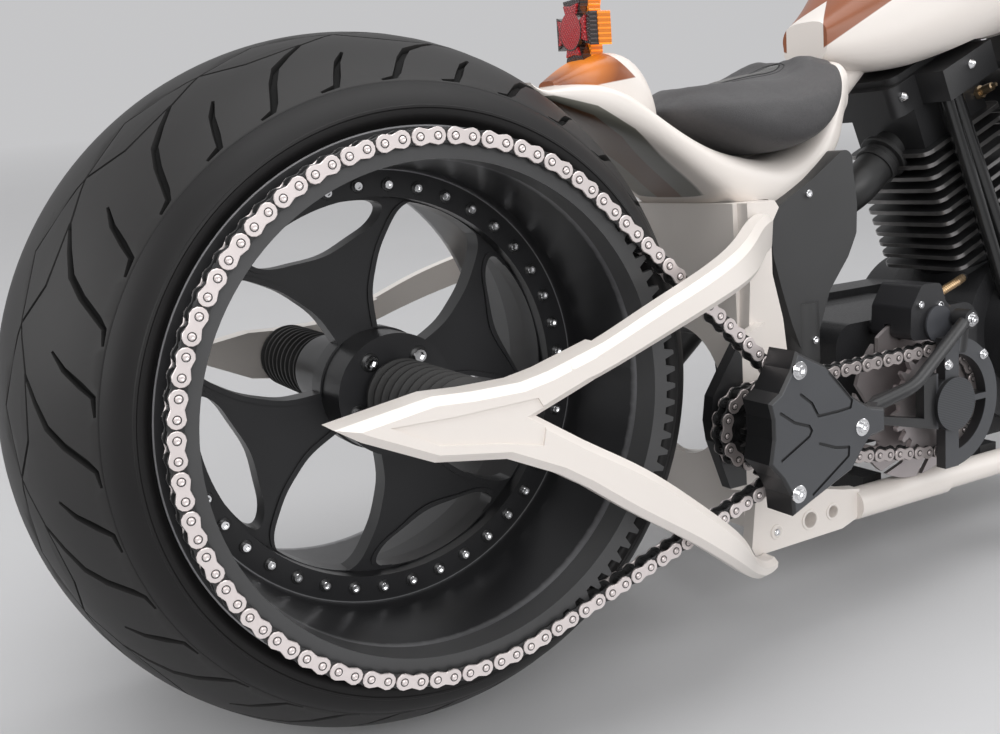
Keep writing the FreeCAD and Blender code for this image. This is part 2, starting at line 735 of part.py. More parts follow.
def rotor_caliper(s):
    """Two-piston caliper over the rotor's top, with its piston cap and the start of its hose."""
    v = sizes(caliper_near=156.0, caliper_far=98.0, caliper_round=9.0, caliper_gap=2.5, piston_cap=21.0,
              cap_rise=5.0, hose_radius=5.0, hose_bend=24.0, stay_radius=9.0)
    body_shares = (
        (-0.429, 0.796), (-0.408, 1.143), (-0.224, 1.408), (0.082, 1.388), (0.163, 1.163),
        (0.347, 1.000), (0.286, 0.765), (-0.122, 0.745), (-0.347, 0.765))
    reach = s.rotor_radius
    corners = [vec(OUTPUT_X + reach * x, -v.caliper_near, OUTPUT_Z + reach * z) for x, z in body_shares]
    body = Part.Face(Part.makePolygon(corners + corners[:1])).extrude(vec(0, v.caliper_near - v.caliper_far,
                                                                          0))
    body = rounded(body, v.caliper_round, Vector(0, 1, 0))
    slot = disk(s.rotor_radius + v.caliper_gap, OUTPUT_X, OUTPUT_Z,
                -s.rotor_plane - s.rotor_half - v.caliper_gap,
                -s.rotor_plane + s.rotor_half + v.caliper_gap)
    inner = disk(s.rotor_radius * 0.64, OUTPUT_X, OUTPUT_Z, -2 * v.caliper_near, 0)
    cap = disk(v.piston_cap, OUTPUT_X - reach * 0.0, OUTPUT_Z + reach * 0.92, -v.caliper_near - v.cap_rise,
               -v.caliper_near)
    start = vec(OUTPUT_X + reach * 0.06, -v.caliper_near * 0.92, OUTPUT_Z + reach * 1.2)
    hose = tube([start, start + vec(reach * 0.5, reach * 0.05, reach * 0.12),
                 start + vec(reach * 1.0, reach * 0.36, reach * 0.10)], v.hose_radius, v.hose_bend)
    stay = disk(v.stay_radius, OUTPUT_X - reach * 0.2, OUTPUT_Z + reach * 0.84,
                -v.caliper_far - v.stay_radius,
                -engine_sizes.gear_side - bike.seat_gap)
    deliver("rotor_caliper", feature(body.cut([slot, inner]).fuse([cap, hose, stay])))


def drive_cover(rotor, chain_sizes):
    """Cross-shaped cover on the jackshaft, with a window arm to the half ring round the output shaft."""
    s = sizes(cover_face=246.0, cover_back=207.0, cover_bevel=3.0, groove=3.0, groove_depth=1.6,
              ring_face=178.0,
              ring_back=165.0, ring_outer=76.0, ring_inner=57.0, cap_radius=31.0, cap_face=184.0,
              arm_thick=12.0,
              torque_radius=7.0, torque_bolt=11.0, cover_reach=100.0)
    unit = s.cover_reach

    def at(x, y, z):
        return vec(DRIVE_X + unit * x, y, DRIVE_Z + unit * z)

    def plate(shares, low, high):
        corners = [at(x, low, z) for x, z in shares]
        return Part.Face(Part.makePolygon(corners + corners[:1])).extrude(vec(0, high - low, 0))

    right_shares = (
        (-0.210, 0.947), (-0.110, 0.887), (0.160, 0.747), (0.340, 0.567), (0.500, 0.387),
        (0.740, 0.237), (0.950, 0.187), (0.960, -0.053), (0.750, -0.083), (0.630, -0.203),
        (0.490, -0.373), (-0.030, -0.573), (-0.300, -0.683))
    left_shares = (
        (-0.320, -0.473), (-0.430, -0.283), (-0.580, -0.113), (-0.530, 0.127), (-0.530, 0.327),
        (-0.570, 0.487), (-0.430, 0.567), (-0.280, 0.777))
    outline = right_shares + left_shares
    corners = [at(x, -s.cover_back, z) for x, z in outline]
    cross = Part.Face(Part.makePolygon(corners + corners[:1])).extrude(vec(0, s.cover_bevel + s.cover_back
                                                                           - s.cover_face, 0))
    rim = Part.makePolygon([at(x, s.cover_bevel - s.cover_face, z) for x, z in outline + outline[:1]])
    small = rim.makeOffset2D(-float(s.cover_bevel), 2)
    small.translate(vec(0, -s.cover_bevel, 0))
    shape = cross.fuse(Part.makeLoft([rim, small], True, True))
    groove_shares = (
        (
        (-0.180, 0.517), (-0.040, 0.407), (0.040, 0.267), (0.300, 0.267), (0.470, 0.277),
        (0.490, 0.347), (0.190, 0.677)),
        (
        (-0.440, 0.377), (-0.270, 0.257), (-0.080, 0.187), (-0.050, 0.137), (-0.080, 0.087),
        (-0.450, -0.093)),
        (
        (0.050, -0.013), (0.260, -0.093), (0.440, -0.123), (0.430, -0.213), (-0.060, -0.513)))
    tools = []
    for line in groove_shares:
        for (x0, z0), (x1, z1) in zip(line, line[1:]):
            a = at(x0, -s.cover_face, z0)
            b = at(x1, -s.cover_face, z1)
            side = (b - a).normalize().cross(Vector(0, 1, 0)) * float(s.groove / 2)
            depth = vec(0, s.groove_depth, 0)
            strip = Part.makePolygon([a + side, b + side, b - side, a - side, a + side])
            tools.append(Part.Face(strip).extrude(depth))
            tools.append(Part.makeCylinder(float(s.groove / 2), float(s.groove_depth), a, Vector(0, 1, 0)))
    shape = shape.cut(tools)
    ring_low, ring_high = -s.ring_face, -s.ring_back
    hoop = ring(s.ring_outer, s.ring_inner, OUTPUT_X, OUTPUT_Z, ring_low, ring_high)
    hoop = hoop.cut(slab((OUTPUT_X - 2 * s.ring_outer, OUTPUT_X - s.cap_radius * 0.3),
                         (ring_low, ring_high), (OUTPUT_Z - 2 * s.ring_outer, OUTPUT_Z + 2 * s.ring_outer)))
    spoke = slab((OUTPUT_X, OUTPUT_X + (s.ring_outer + s.ring_inner) / 2), (ring_low, ring_high),
                 (OUTPUT_Z - s.torque_radius / 2, OUTPUT_Z + s.torque_radius / 2))
    riser = slab((OUTPUT_X - s.torque_bolt, OUTPUT_X + s.torque_bolt), (ring_low, ring_high),
                 (OUTPUT_Z - s.ring_outer, OUTPUT_Z + s.ring_outer))
    cap = disk(s.cap_radius, OUTPUT_X, OUTPUT_Z, -s.cap_face, ring_high)
    window_arm = []
    for x_share, y, high_share, low_share in ((0.92, -s.cover_face + s.arm_thick, 0.19, -0.05),
                                              (1.37, -s.ring_face - 2 * s.arm_thick, 0.15, -0.15),
                                              (2.52, -s.ring_face, 0.19, -0.46)):
        corners = [at(x_share, y, high_share), at(x_share, y, low_share),
                   at(x_share, y + s.arm_thick, low_share),
                   at(x_share, y + s.arm_thick, high_share)]
        window_arm.append(Part.makePolygon(corners + corners[:1]))
    arm = Part.makeLoft(window_arm, True, True)
    window_shares = ((1.42, 0.07), (2.22, 0.12), (2.22, -0.27), (1.42, -0.07))
    arm = arm.cut(plate(window_shares, -s.cover_face, -bike.inner_plane))
    bolt = vec(OUTPUT_X + s.ring_inner * 0.42, -s.ring_face, OUTPUT_Z + s.ring_outer * 1.24)
    start = at(1.07, -s.cover_back - s.torque_radius, 0.11)
    torque = tube([start, start + (bolt - start) * 0.35 + vec(0, -s.torque_bolt, -s.torque_bolt), bolt],
                  s.torque_radius, unit)
    eye = disk(s.torque_bolt, bolt.x, bolt.z, -s.ring_face - s.torque_radius, ring_high)
    lug = pole(s.torque_bolt * 0.8, vec(bolt.x, -s.ring_back - s.torque_radius, bolt.z),
               vec(OUTPUT_X + s.ring_inner * 0.3, -s.ring_back - s.torque_radius, OUTPUT_Z + s.ring_inner))
    shape = shape.fuse([hoop, spoke, riser, cap, arm, torque, eye, lug])
    bore = disk(rotor.output_shaft + bike.seat_gap, OUTPUT_X, OUTPUT_Z, -rotor.output_end - bike.seat_gap,
                0)
    socket = disk(jack_sizes.jack_radius + bike.seat_gap, DRIVE_X, DRIVE_Z, -jack_sizes.jack_outer, 0)
    deliver("drive_cover", feature(one_solid(shape.cut([bore, socket]))))


def head_axes():
    """The steering head's middle, the fork's downward direction and its forward direction."""
    a = math.radians(float(bike.rake))
    down = Vector(math.sin(a), 0, -math.cos(a))
    out = Vector(math.cos(a), 0, math.sin(a))
    return vec(HEAD_X, 0, bike.head_height), down, out


def head_barrel(grow=0):
    head, down, out = head_axes()
    half = down * float(bike.head_length / 2)
    return pole(bike.head_tube + grow, head - half, head + half)


def toward_head(x_share, z_share):
    """A place between the saddle's front and the steering head."""
    head = head_axes()[0]
    a = spot(1.415, 0, 1.664)
    return vec(a.x + (head.x - a.x) * x_share, 0, a.z + (head.z - a.z) * z_share)


def backbone(grow=0):
    s = spine_sizes
    head, down, out = head_axes()
    points = [toward_head(x, z) for x, z in ((0.995, 1.0), (0.71, 0.80), (0.34, 0.51), (0.12, 0.27),
                                             (0, 0))]
    points += [spot(1.179, 0, 1.495), spot(0.963, 0, 1.453)]
    return tube(points, s.spine_radius + grow, s.spine_bend)


def frame_side(label, side):
    """Box-section post and cross web, lower plate with its holes, rail forward and tube up to the head."""
    s = frame_sizes
    inner, outer = bike.plate_inner, bike.plate_outer

    def pushed(shares, low, high):
        corners = [spot(x, side * low, z) for x, z in shares]
        return Part.Face(Part.makePolygon(corners + corners[:1])).extrude(vec(0, side * (high - low), 0))

    foot_shares = (
        (0.915, 0.297), (0.927, 0.267), (1.236, 0.273), (1.302, 0.300), (1.302, 0.398), (1.245, 0.410),
        (1.108, 0.452), (1.038, 0.505), (1.014, 0.624), (0.934, 0.624), (0.934, 0.475))
    post_shares = (
        (0.934, 0.475), (1.014, 0.594), (1.040, 0.743), (1.059, 0.892), (1.045, 1.040), (1.014, 1.189),
        (1.014, 1.343), (1.042, 1.397), (1.028, 1.421), (0.939, 1.421), (0.941, 1.198), (0.929, 0.981),
        (0.922, 0.713))
    web_shares = (
        (0.925, 0.357), (0.948, 0.357), (0.948, 1.421), (0.925, 1.421))
    cheek_shares = (
        (0.953, 1.046), (0.877, 1.010), (0.814, 0.903), (0.781, 0.844), (0.771, 0.767), (0.778, 0.701),
        (0.797, 0.636), (0.825, 0.535), (0.953, 0.490))
    shape = pushed(foot_shares, inner, outer)
    post = pushed(post_shares, inner - s.post_depth, outer)
    web = pushed(web_shares, bike.running_gap, inner)
    window = Part.makeCylinder(float(s.web_window), float(inner + outer), spot(0.896, 0, 0.779),
                               Vector(1, 0, 0))
    shape = shape.fuse([post, web.cut(window)])
    holes = [disk(r, PIVOT_X + x, s.hole_height + rise, side * outer - outer, side * outer + outer)
             for r, x, rise in ((s.hole_rear, s.hole_first, 0), (s.hole_front, s.hole_second, s.hole_step))]
    rail_y = side * (inner + outer) / 2
    knee = CRANK_X + s.rail_knee
    points = [vec(PIVOT_X + s.rail_start, rail_y, bike.rail_height), vec(knee, rail_y, bike.rail_height),
              vec(knee + s.knee_step, rail_y * s.knee_share, bike.rail_height + s.knee_rise),
              head_axes()[0] + vec(s.neck_ahead, side * s.neck_side, -s.neck_drop)]
    rail = tube(points, bike.rail_radius, s.rail_bend)
    sleeve = Part.makeCylinder(float(bike.rail_radius + s.sleeve_step), float(s.sleeve_length), points[0],
                               Vector(1, 0, 0))
    shape = shape.fuse([rail, sleeve]).cut(holes).cut([backbone(bike.seat_gap), head_barrel(bike.seat_gap)])
    far = AXLE_X
    half = slab((0, far), (0, far), (0, far)) if side > 0 else slab((0, far), (-far, 0), (0, far))
    half.translate(vec(0, side * bike.running_gap, 0))
    shape = one_solid(shape.common(half))
    if side > 0:
        shape = stand_ears(shape)
    else:
        cheek = pushed(cheek_shares, outer, outer + s.cheek_depth)
        root = slab((PIVOT_X * 0.929, PIVOT_X * 0.953), (-outer - s.cheek_depth, -inner),
                    (R * 0.565, R * 0.981))
        bore = disk(jack_sizes.jack_radius + bike.seat_gap, DRIVE_X, DRIVE_Z, -2 * outer, 0)
        shape = shape.fuse([cheek, root]).cut(bore)
    deliver(label, feature(shape))


def stand_axis():
    """Where the side stand turns: a point beside the left rail and the leaning pivot axis."""
    s = stand_sizes
    return (vec(PIVOT_X + s.pivot_ahead, bike.plate_outer + s.pivot_side, bike.rail_height - s.pivot_drop),
            Vector(-0.03, 0.40, 0.915).normalize())


def stand_ears(shape):
    """The two ears, the web and the pin that carry the side stand."""
    s = stand_sizes
    pivot, axis = stand_axis()
    half = axis * float(s.eye_half + s.ear_gap)
    ears = [Part.makeCylinder(float(s.ear_radius), float(s.ear_thick), pivot + half, axis),
            Part.makeCylinder(float(s.ear_radius), float(s.ear_thick), pivot - half, -axis)]
    reach = axis * float(s.eye_half + s.ear_gap + s.ear_thick)
    pin = pole(s.pin_radius, pivot - reach, pivot + reach)
    web = slab((pivot.x - s.web_half, pivot.x + s.web_half),
               (bike.plate_outer + s.web_inset, pivot.y - s.web_back),
               (bike.rail_height - s.web_half, bike.rail_height + s.web_half))
    gap = pole(s.ear_radius + s.ear_swing, pivot - half, pivot + half)
    return shape.fuse(ears + [web]).cut(gap).fuse(pin)


def side_stand():
    s = stand_sizes
    up = Vector(0, -math.sin(TILT), math.cos(TILT))
    pivot, axis = stand_axis()
    foot = vec(pivot.x + s.foot_ahead, s.foot_side, float(s.foot_side) * math.tan(TILT) - GROUND_RISE)
    flat = foot + up * float(s.foot_lift) - pivot
    flat = (flat - axis * flat.dot(axis)).normalize()
    leg = tube([pivot + flat * float(s.eye_radius * 0.75), pivot + flat * float(s.neck_length),
                foot + up * float(s.foot_lift)], s.stand_radius, s.leg_bend)
    eye = pole(s.eye_radius, pivot - axis * float(s.eye_half), pivot + axis * float(s.eye_half))
    pad = Part.makeCylinder(float(s.pad_radius), float(s.pad_thick), foot, up)
    spur = pole(s.stand_radius * 0.7, foot + up * float(s.foot_lift) + vec(s.spur_start, 0, 0),
                foot + up * float(s.foot_lift) + vec(s.spur_length, s.spur_length * 0.3,
                                                     s.spur_length * 0.3))
    bore = pole(s.pin_radius + bike.running_gap, pivot - axis * float(s.neck_length),
                pivot + axis * float(s.neck_length))
    wide = 2 * s.neck_length
    near = pole(s.ear_radius + s.ear_swing + s.ear_gap, pivot - axis * float(wide),
                pivot + axis * float(wide))
    layer = pole(wide, pivot - axis * float(s.eye_half), pivot + axis * float(s.eye_half))
    leg = leg.cut(near.cut(layer))
    deliver("side_stand", feature(one_solid(leg.fuse([pad, eye, spur]).cut(bore))))


def frame_spine():
    """Backbone from the steering head to the saddle's post, with the head tube."""
    head, down, out = head_axes()
    half = down * float(bike.head_length)
    bore = pole(bike.stem_radius + bike.running_gap, head - half, head + half)
    deliver("frame_spine", feature(head_barrel().fuse(backbone()).cut(bore)))


def section_loft(rows, widest, power_share):
    """A smooth body through rounded sections: x, low and top height, and half width, all as shares."""
    wires = []
    for x_share, low_share, top_share, wide_share in rows:
        low = R * low_share
        top = R * top_share
        half = float(top - low) / 2
        wires.append(oval(PIVOT_X * x_share, (low + top) / 2, float(widest * wide_share), half,
                          power_share))
    return Part.makeLoft(wires, True)


def saddle_shell():
    """The saddle-shaped shell: tail tip, dished seat carrier, horn that rises to the tank, and the light's hump."""
    s = shell_sizes
    rows = (
        (0.481, 1.823, 1.837, 0.250), (0.547, 1.756, 1.819, 0.458), (0.672, 1.676, 1.813, 0.688),
        (0.790, 1.578, 1.706, 0.854), (0.908, 1.453, 1.617, 0.958), (1.031, 1.361, 1.569, 1.000),
        (1.137, 1.361, 1.548, 1.000), (1.236, 1.426, 1.584, 0.958), (1.311, 1.486, 1.664, 0.875),
        (1.377, 1.545, 1.777, 0.750), (1.443, 1.652, 1.860, 0.583))
    hump = (
        (0.557, 1.777, 1.840, 0.167), (0.618, 1.753, 1.881, 0.312), (0.708, 1.694, 1.917, 0.396),
        (0.778, 1.664, 1.890, 0.375), (0.840, 1.634, 1.747, 0.292))
    return section_loft(rows, s.shell_wide, 0.62).fuse(section_loft(hump, s.shell_wide, 0.55))


def tail_cowl():
    shape = saddle_shell().cut([backbone(bike.body_gap), tank_form(bike.body_gap)])
    inner, outer = bike.plate_inner, bike.plate_outer
    sides = []
    for side in (-1, 1):
        a = side * (inner - frame_sizes.post_depth - bike.seat_gap)
        b = side * (outer + bike.overrun)
        sides.append(slab((PIVOT_X * 0.910, PIVOT_X * 1.061), (min(a, b), max(a, b)),
                          (R * 1.189, R * 1.421 + bike.seat_gap)))
    web = slab((PIVOT_X * 0.920, PIVOT_X * 0.953), (-inner, inner), (R * 1.189, R * 1.421 + bike.seat_gap))
    deliver("tail_cowl", feature(one_solid(shape.cut(sides + [web]))))


def seat_pad():
    s = shell_sizes
    rows = (
        (0.854, 1.709, 1.736, 0.302), (0.896, 1.664, 1.765, 0.619), (0.972, 1.605, 1.783, 0.857),
        (1.066, 1.560, 1.795, 0.984), (1.179, 1.563, 1.813, 1.000), (1.288, 1.629, 1.848, 0.889),
        (1.349, 1.718, 1.884, 0.730), (1.375, 1.771, 1.890, 0.556))
    pad = section_loft(rows, s.seat_wide, 0.62).cut([saddle_shell(), backbone(bike.body_gap),
                                                     tank_form(2 * bike.body_gap)])
    pad.translate(vec(0, 0, bike.body_gap))
    deliver("seat_pad", feature(one_solid(pad)))


def tail_light():
    """Housing with four flared arms round the lens, on a short stem above the hump."""
    s = sizes(light_arm=32.0, light_depth=26.0, light_flare=17.0, light_waist=7.0, light_stem=8.0,
              lens_rise=4.0)
    x, z = PIVOT_X * 0.708, R * 1.988
    r = s.light_arm
    shape = None
    for k in range(4):
        corners = []
        for reach, wide in ((0, -s.light_waist), (r, -s.light_flare), (r, s.light_flare),
                            (0, s.light_waist)):
            corners.append(vec(0, reach, wide))
        face = Part.Face(Part.makePolygon(corners + corners[:1]))
        face.rotate(Vector(), Vector(1, 0, 0), 90 * k)
        arm = face.extrude(vec(s.light_depth, 0, 0))
        shape = arm if shape is None else shape.fuse(arm)
    shape.translate(vec(x - s.light_depth, 0, z))
    lens = Part.makeCylinder(float(r * 0.62), float(s.lens_rise),
                             vec(x - s.light_depth - s.lens_rise, 0, z), Vector(1, 0, 0))
    stem = pole(s.light_stem, vec(x - s.light_depth / 2, 0, z - r * 0.5),
                vec(x - s.light_depth / 2, 0, R * 1.783))
    deliver("tail_light", feature(one_solid(shape.fuse([lens, stem]).removeSplitter().cut(saddle_shell()))))


def tank_form(grow=0):
    """Stretched tank: flat rear corner over the saddle's horn, belly rising forward, nose at the steering head."""
    s = shell_sizes
    wires = []
    for x_share, low_share, top_share, wide in (
            (0.000, 0.215, 0.370, 0.26), (0.080, 0.170, 0.510, 0.50), (0.200, 0.190, 0.740, 0.86),
            (0.400, 0.310, 0.990, 1.0),
            (0.620, 0.440, 1.090, 0.90), (0.800, 0.600, 1.095, 0.60), (0.855, 0.690, 1.060, 0.38)):
        low = toward_head(x_share, low_share)
        top = toward_head(x_share, top_share)
        wires.append(oval(low.x - float(grow), (low.z + top.z) / 2, float(s.tank_wide * wide + grow),
                          (top.z - low.z) / 2 + float(grow), 0.62))
    return Part.makeLoft(wires, True)


def fuel_tank():
    """The tank with its tunnel over the backbone, hollows over the rocker boxes, and a filler neck."""
    s = shell_sizes
    shape = tank_form()
    for room in (rocker_space(-1), rocker_space(1), backbone(bike.body_gap)):
        shape = shape.cut(room)
    cap = toward_head(0.42, 0.99)
    neck = Part.makeCylinder(float(s.filler_radius), float(2 * s.filler_rise),
                             cap - vec(0, 0, s.filler_rise), Vector(0, 0, 1))
    deliver("fuel_tank", feature(one_solid(shape.fuse(neck))))


def oil_tank():
    """Side-cover tank behind the engine, with an upright canister at its right rear corner."""
    s = sizes(tank_face=110.0, tank_round=12.0, canister_radius=21.0, canister_side=94.0)
    side_shares = (
        (1.321, 1.581), (1.179, 1.471), (1.066, 1.400), (1.035, 1.337), (1.040, 1.245), (1.066, 1.129),
        (1.097, 1.010), (1.130, 0.909), (1.175, 0.900), (1.193, 0.972), (1.233, 1.100), (1.302, 1.204),
        (1.333, 1.278), (1.337, 1.373), (1.325, 1.486))
    face = s.tank_face
    body = rounded(plate_between(side_shares, -face, face), s.tank_round, Vector(0, 1, 0))
    canister = Part.makeCylinder(float(s.canister_radius), float(R * 0.19),
                                 spot(1.160, -s.canister_side, 0.880), Vector(0, 0, 1))
    bottom = Part.makeSphere(float(s.canister_radius), spot(1.160, -s.canister_side, 0.880))
    shape = body.fuse([canister, bottom]).cut([saddle_shell(), backbone(bike.body_gap)])
    deliver("oil_tank", feature(one_solid(shape)))


def case_shape():
    """Crankcase: round case with its cam chest, sump and the two cylinder decks, on feet at the rails."""
    s = engine_sizes
    x, z = CRANK_X, CRANK_Z
    case = disk(s.case_radius, x, z, -s.case_half, s.case_half)
    sump = slab((x - s.sump_half, x + s.sump_half), (-s.sump_side, s.sump_side),
                (z - s.sump_drop, z - s.case_radius / 2))
    decks = []
    for way in (-1, 1):
        a = math.radians(way * float(bike.cylinder_tilt))
        decks.append(Part.makeCylinder(float(s.deck_radius), float(s.deck_height), vec(x, 0, z),
                                       Vector(math.sin(a), 0, math.cos(a))))
    f = (bike.plate_inner + bike.plate_outer) / 2 - bike.rail_radius - bike.seat_gap
    feet = [slab((x + start, x + start + s.foot_length), (-f, f),
                 (z - s.sump_drop - s.foot_below, z - s.sump_drop + s.foot_above))
            for start in (-s.foot_rear, s.foot_front)]
    return case.fuse([cam_chest(), sump] + decks + feet)


def cam_chest():
    s = engine_sizes
    return disk(s.cam_radius, CRANK_X, CRANK_Z + s.cam_rise, -s.cam_face, -s.case_half)


def engine_case():
    s = engine_sizes
    ribs = []
    for k in range(3):
        ribs.append(ring(s.cam_radius * (0.9 - 0.2 * k), s.cam_radius * (0.84 - 0.2 * k), CRANK_X,
                         CRANK_Z + s.cam_rise,
                         -s.cam_face - s.cam_rib, -s.cam_face))
    deliver("crankcase", feature(case_shape().fuse(ribs).removeSplitter()))


def cylinder_shape(way):
    """Finned barrel, finned head and rocker box, leaning from the crank."""
    s = engine_sizes
    parts = [Part.makeCylinder(float(s.barrel_radius), float(s.box_start - s.barrel_start),
                               vec(0, 0, s.barrel_start))]
    for k in range(int(float(s.fin_count))):
        z = s.fin_start + s.fin_step * k
        fin = slab((-s.fin_wide, s.fin_wide), (-s.fin_side, s.fin_side), (z, z + s.fin_thick))
        parts.append(rounded(fin, s.fin_round, Vector(0, 0, 1)))
    parts.append(slab((-s.head_wide, s.head_wide), (-s.head_side, s.head_side),
                      (s.head_start, s.box_start)))
    box = slab((-s.box_wide, s.box_wide), (-s.box_side, s.box_side), (s.box_start, s.box_top))
    lid = slab((-s.box_wide * 0.86, s.box_wide * 0.86), (-s.box_side * 0.86, s.box_side * 0.86),
               (s.box_top, s.box_top + s.lid_rise))
    tower = slab((-s.tower_wide, s.tower_wide), (-s.tower_side, -s.box_side), (s.box_start, s.box_top))
    parts += [rounded(box, s.fin_round, Vector(0, 0, 1)), rounded(lid, s.fin_round, Vector(0, 0, 1)), tower]
    shape = parts[0].fuse(parts[1:])
    shape.Placement = Placement(vec(CRANK_X, 0, CRANK_Z),
                                Rotation(Vector(0, 1, 0), way * float(bike.cylinder_tilt)))
    far = 2 * s.box_top
    gap = s.split_gap
    near = (CRANK_X + gap, CRANK_X + far) if way > 0 else (CRANK_X - far, CRANK_X - gap)
    side = slab(near, (-far, far), (CRANK_Z, CRANK_Z + far))
    return shape.common(side).cut(case_shape())


def rocker_space(way):
    """The room that a rocker box and its tower need under the tank."""
    s = engine_sizes
    g = bike.moving_gap
    room = slab((-s.box_wide - g, s.box_wide + g), (-s.tower_side - g, s.box_side + g),
                (s.head_start, s.box_top + s.lid_rise + g))
    room.Placement = Placement(vec(CRANK_X, 0, CRANK_Z),
                               Rotation(Vector(0, 1, 0), way * float(bike.cylinder_tilt)))
    return room


def pushrods():
    """Four pushrod tubes from the cam chest up to the rocker towers."""
    s = engine_sizes
    bars = []
    for way, x in ((-1, -s.rod_near), (-1, -s.rod_far), (1, s.rod_near), (1, s.rod_far)):
        a = math.radians(way * float(bike.cylinder_tilt))
        up = Vector(math.sin(a), 0, math.cos(a))
        across = Vector(math.cos(a), 0, -math.sin(a))
        crank = vec(CRANK_X, 0, CRANK_Z)
        top = crank + up * float(s.box_start + s.fin_step / 2) + across * (float(x) * 0.5) - vec(0,
                                                                                                 s.rod_top_side, 0)
        foot = crank + vec(x, -s.rod_foot_side, s.rod_foot_rise)
        bars.append(pole(s.rod_radius, foot, top))
    shape = bars[0].fuse(bars[1:]).cut([cam_chest(), cylinder_shape(-1), cylinder_shape(1)])
    deliver("pushrod_tubes", feature(shape))


def air_cleaner():
    """Round air cleaner on a neck between the cylinders."""
    s = sizes(cleaner_rise=318.0, cleaner_radius=84.0, cleaner_face=170.0, cleaner_back=118.0,
              cleaner_round=12.0,
              neck_radius=26.0, manifold_radius=20.0, manifold_half=80.0)
    z = CRANK_Z + s.cleaner_rise
    can = disk(s.cleaner_radius, CRANK_X, z, -s.cleaner_face, -s.cleaner_back)
    can = can.makeFillet(float(s.cleaner_round),
                         [e for e in can.Edges if abs(e.CenterOfMass.y + float(s.cleaner_face)) < 0.01])
    neck = disk(s.neck_radius, CRANK_X, z, -s.cleaner_back, s.manifold_radius)
    cross = Part.makeCylinder(float(s.manifold_radius), float(2 * s.manifold_half),
                              vec(CRANK_X - s.manifold_half, 0, z), Vector(1, 0, 0))
    shape = can.fuse([neck, cross]).cut([cylinder_shape(-1), cylinder_shape(1)])
    deliver("air_cleaner", feature(one_solid(shape)))


def gearbox():
    """Gearbox behind the engine, on its own foot between the rails."""
    s = engine_sizes
    f = (bike.plate_inner + bike.plate_outer) / 2 - bike.rail_radius - frame_sizes.sleeve_step - bike.seat_gap
    x0 = PIVOT_X + s.box_back
    box = slab((x0, x0 + s.gear_length), (-s.gear_side, s.gear_side),
               (CRANK_Z - s.gear_drop, CRANK_Z + s.gear_rise))
    box = rounded(box, s.gear_round, Vector(0, 1, 0))
    foot = slab((x0 + s.gear_round, x0 + s.gear_round + s.foot_length), (-f, f),
                (CRANK_Z - s.sump_drop - s.foot_below, CRANK_Z - s.sump_drop + s.foot_above))
    stem = slab((x0 + s.gear_round, x0 + s.gear_round + s.foot_length), (-s.gear_side / 2, s.gear_side / 2),
                (CRANK_Z - s.sump_drop, CRANK_Z - s.gear_drop))
    deliver("gearbox", feature(box.fuse([foot, stem]).cut(case_shape())))


def primary_cover():
    """Primary drive case on the left: two round ends joined by a waisted middle."""
    s = engine_sizes
    x, z = CRANK_X, CRANK_Z
    near = s.case_half + bike.seat_gap
    front = disk(s.primary_front, x, z, near, s.primary_face)
    back_x = x - s.primary_span
    rear = disk(s.primary_rear, back_x, z - s.primary_drop, near + s.primary_step, s.primary_face)
    middle = slab((back_x, x), (near + s.primary_step, s.primary_face - s.primary_step),
                  (z - s.primary_rear, z + s.primary_rear * 0.8))
    domes = [disk(s.primary_front * 0.72, x, z, s.primary_face, s.primary_face + s.primary_dome),
             disk(s.primary_rear * 0.66, back_x, z - s.primary_drop, s.primary_face,
                  s.primary_face + s.primary_dome)]
    deliver("primary_cover", feature(front.fuse([rear, middle] + domes).removeSplitter()))


def exhaust_pipes():
    """Front pipe low along the right side, rear pipe through to the left behind the primary."""
    s = sizes(pipe_radius=24.0, pipe_bend=40.0, elbow_radius=30.0, pipe_unit=100.0)
    front_shares = ((1.38, -0.20, 2.58), (2.36, -0.60, 2.18), (2.62, -1.30, 0.38), (2.06, -1.60, -0.87),
                    (-0.14, -1.70, -0.94))
    back_shares = ((-1.58, 0.04, 2.62), (-2.32, 0.04, 2.06), (-2.62, 0.60, 1.68), (-3.14, 1.50, 1.30),
                   (-3.62, 1.86, 0.28), (-4.84, 1.90, -0.72))

    def run(shares):
        points = [vec(CRANK_X + s.pipe_unit * a, s.pipe_unit * b, CRANK_Z + s.pipe_unit * c) for a, b, c in shares]
        return tube(points, s.pipe_radius, s.pipe_bend)

    front = run(front_shares)
    back = run(back_shares)
    tools = [cylinder_shape(-1), cylinder_shape(1)]
    deliver("exhaust_pipes",
            feature(Part.makeCompound([one_solid(front.cut(tools)), one_solid(back.cut(tools))])))


def foot_controls(label, side):
    """Forward peg on its bar, with a pedal arm and its pad."""
    s = control_sizes
    x = CRANK_X + s.peg_ahead
    z = bike.rail_height
    start = side * ((bike.plate_inner + bike.plate_outer) / 2 + bike.rail_radius + bike.seat_gap)
    end = start + side * s.peg_bar
    tip = end + side * s.peg_length
    bar = pole(s.peg_shaft, vec(x, start, z), vec(x, end, z))
    peg = pole(s.peg_radius, vec(x, end, z), vec(x, tip, z))
    pedal = tube([vec(x, end - side * s.peg_radius, z),
                  vec(x + s.pedal_length, end - side * s.peg_radius, z + s.pedal_rise),
                  vec(x + s.pedal_length * 1.2, end + side * s.peg_length * 0.6, z + s.pedal_rise * 1.2)],
                  s.pedal_radius, s.pedal_bend)
    pad = pole(s.peg_radius * 0.8, vec(x + s.pedal_length * 1.2, end + side * s.peg_length * 0.2,
                                       z + s.pedal_rise * 1.2),
               vec(x + s.pedal_length * 1.2, end + side * s.peg_length * 0.8, z + s.pedal_rise * 1.2))
    deliver(label, feature(one_solid(bar.fuse([peg, pedal, pad]))))


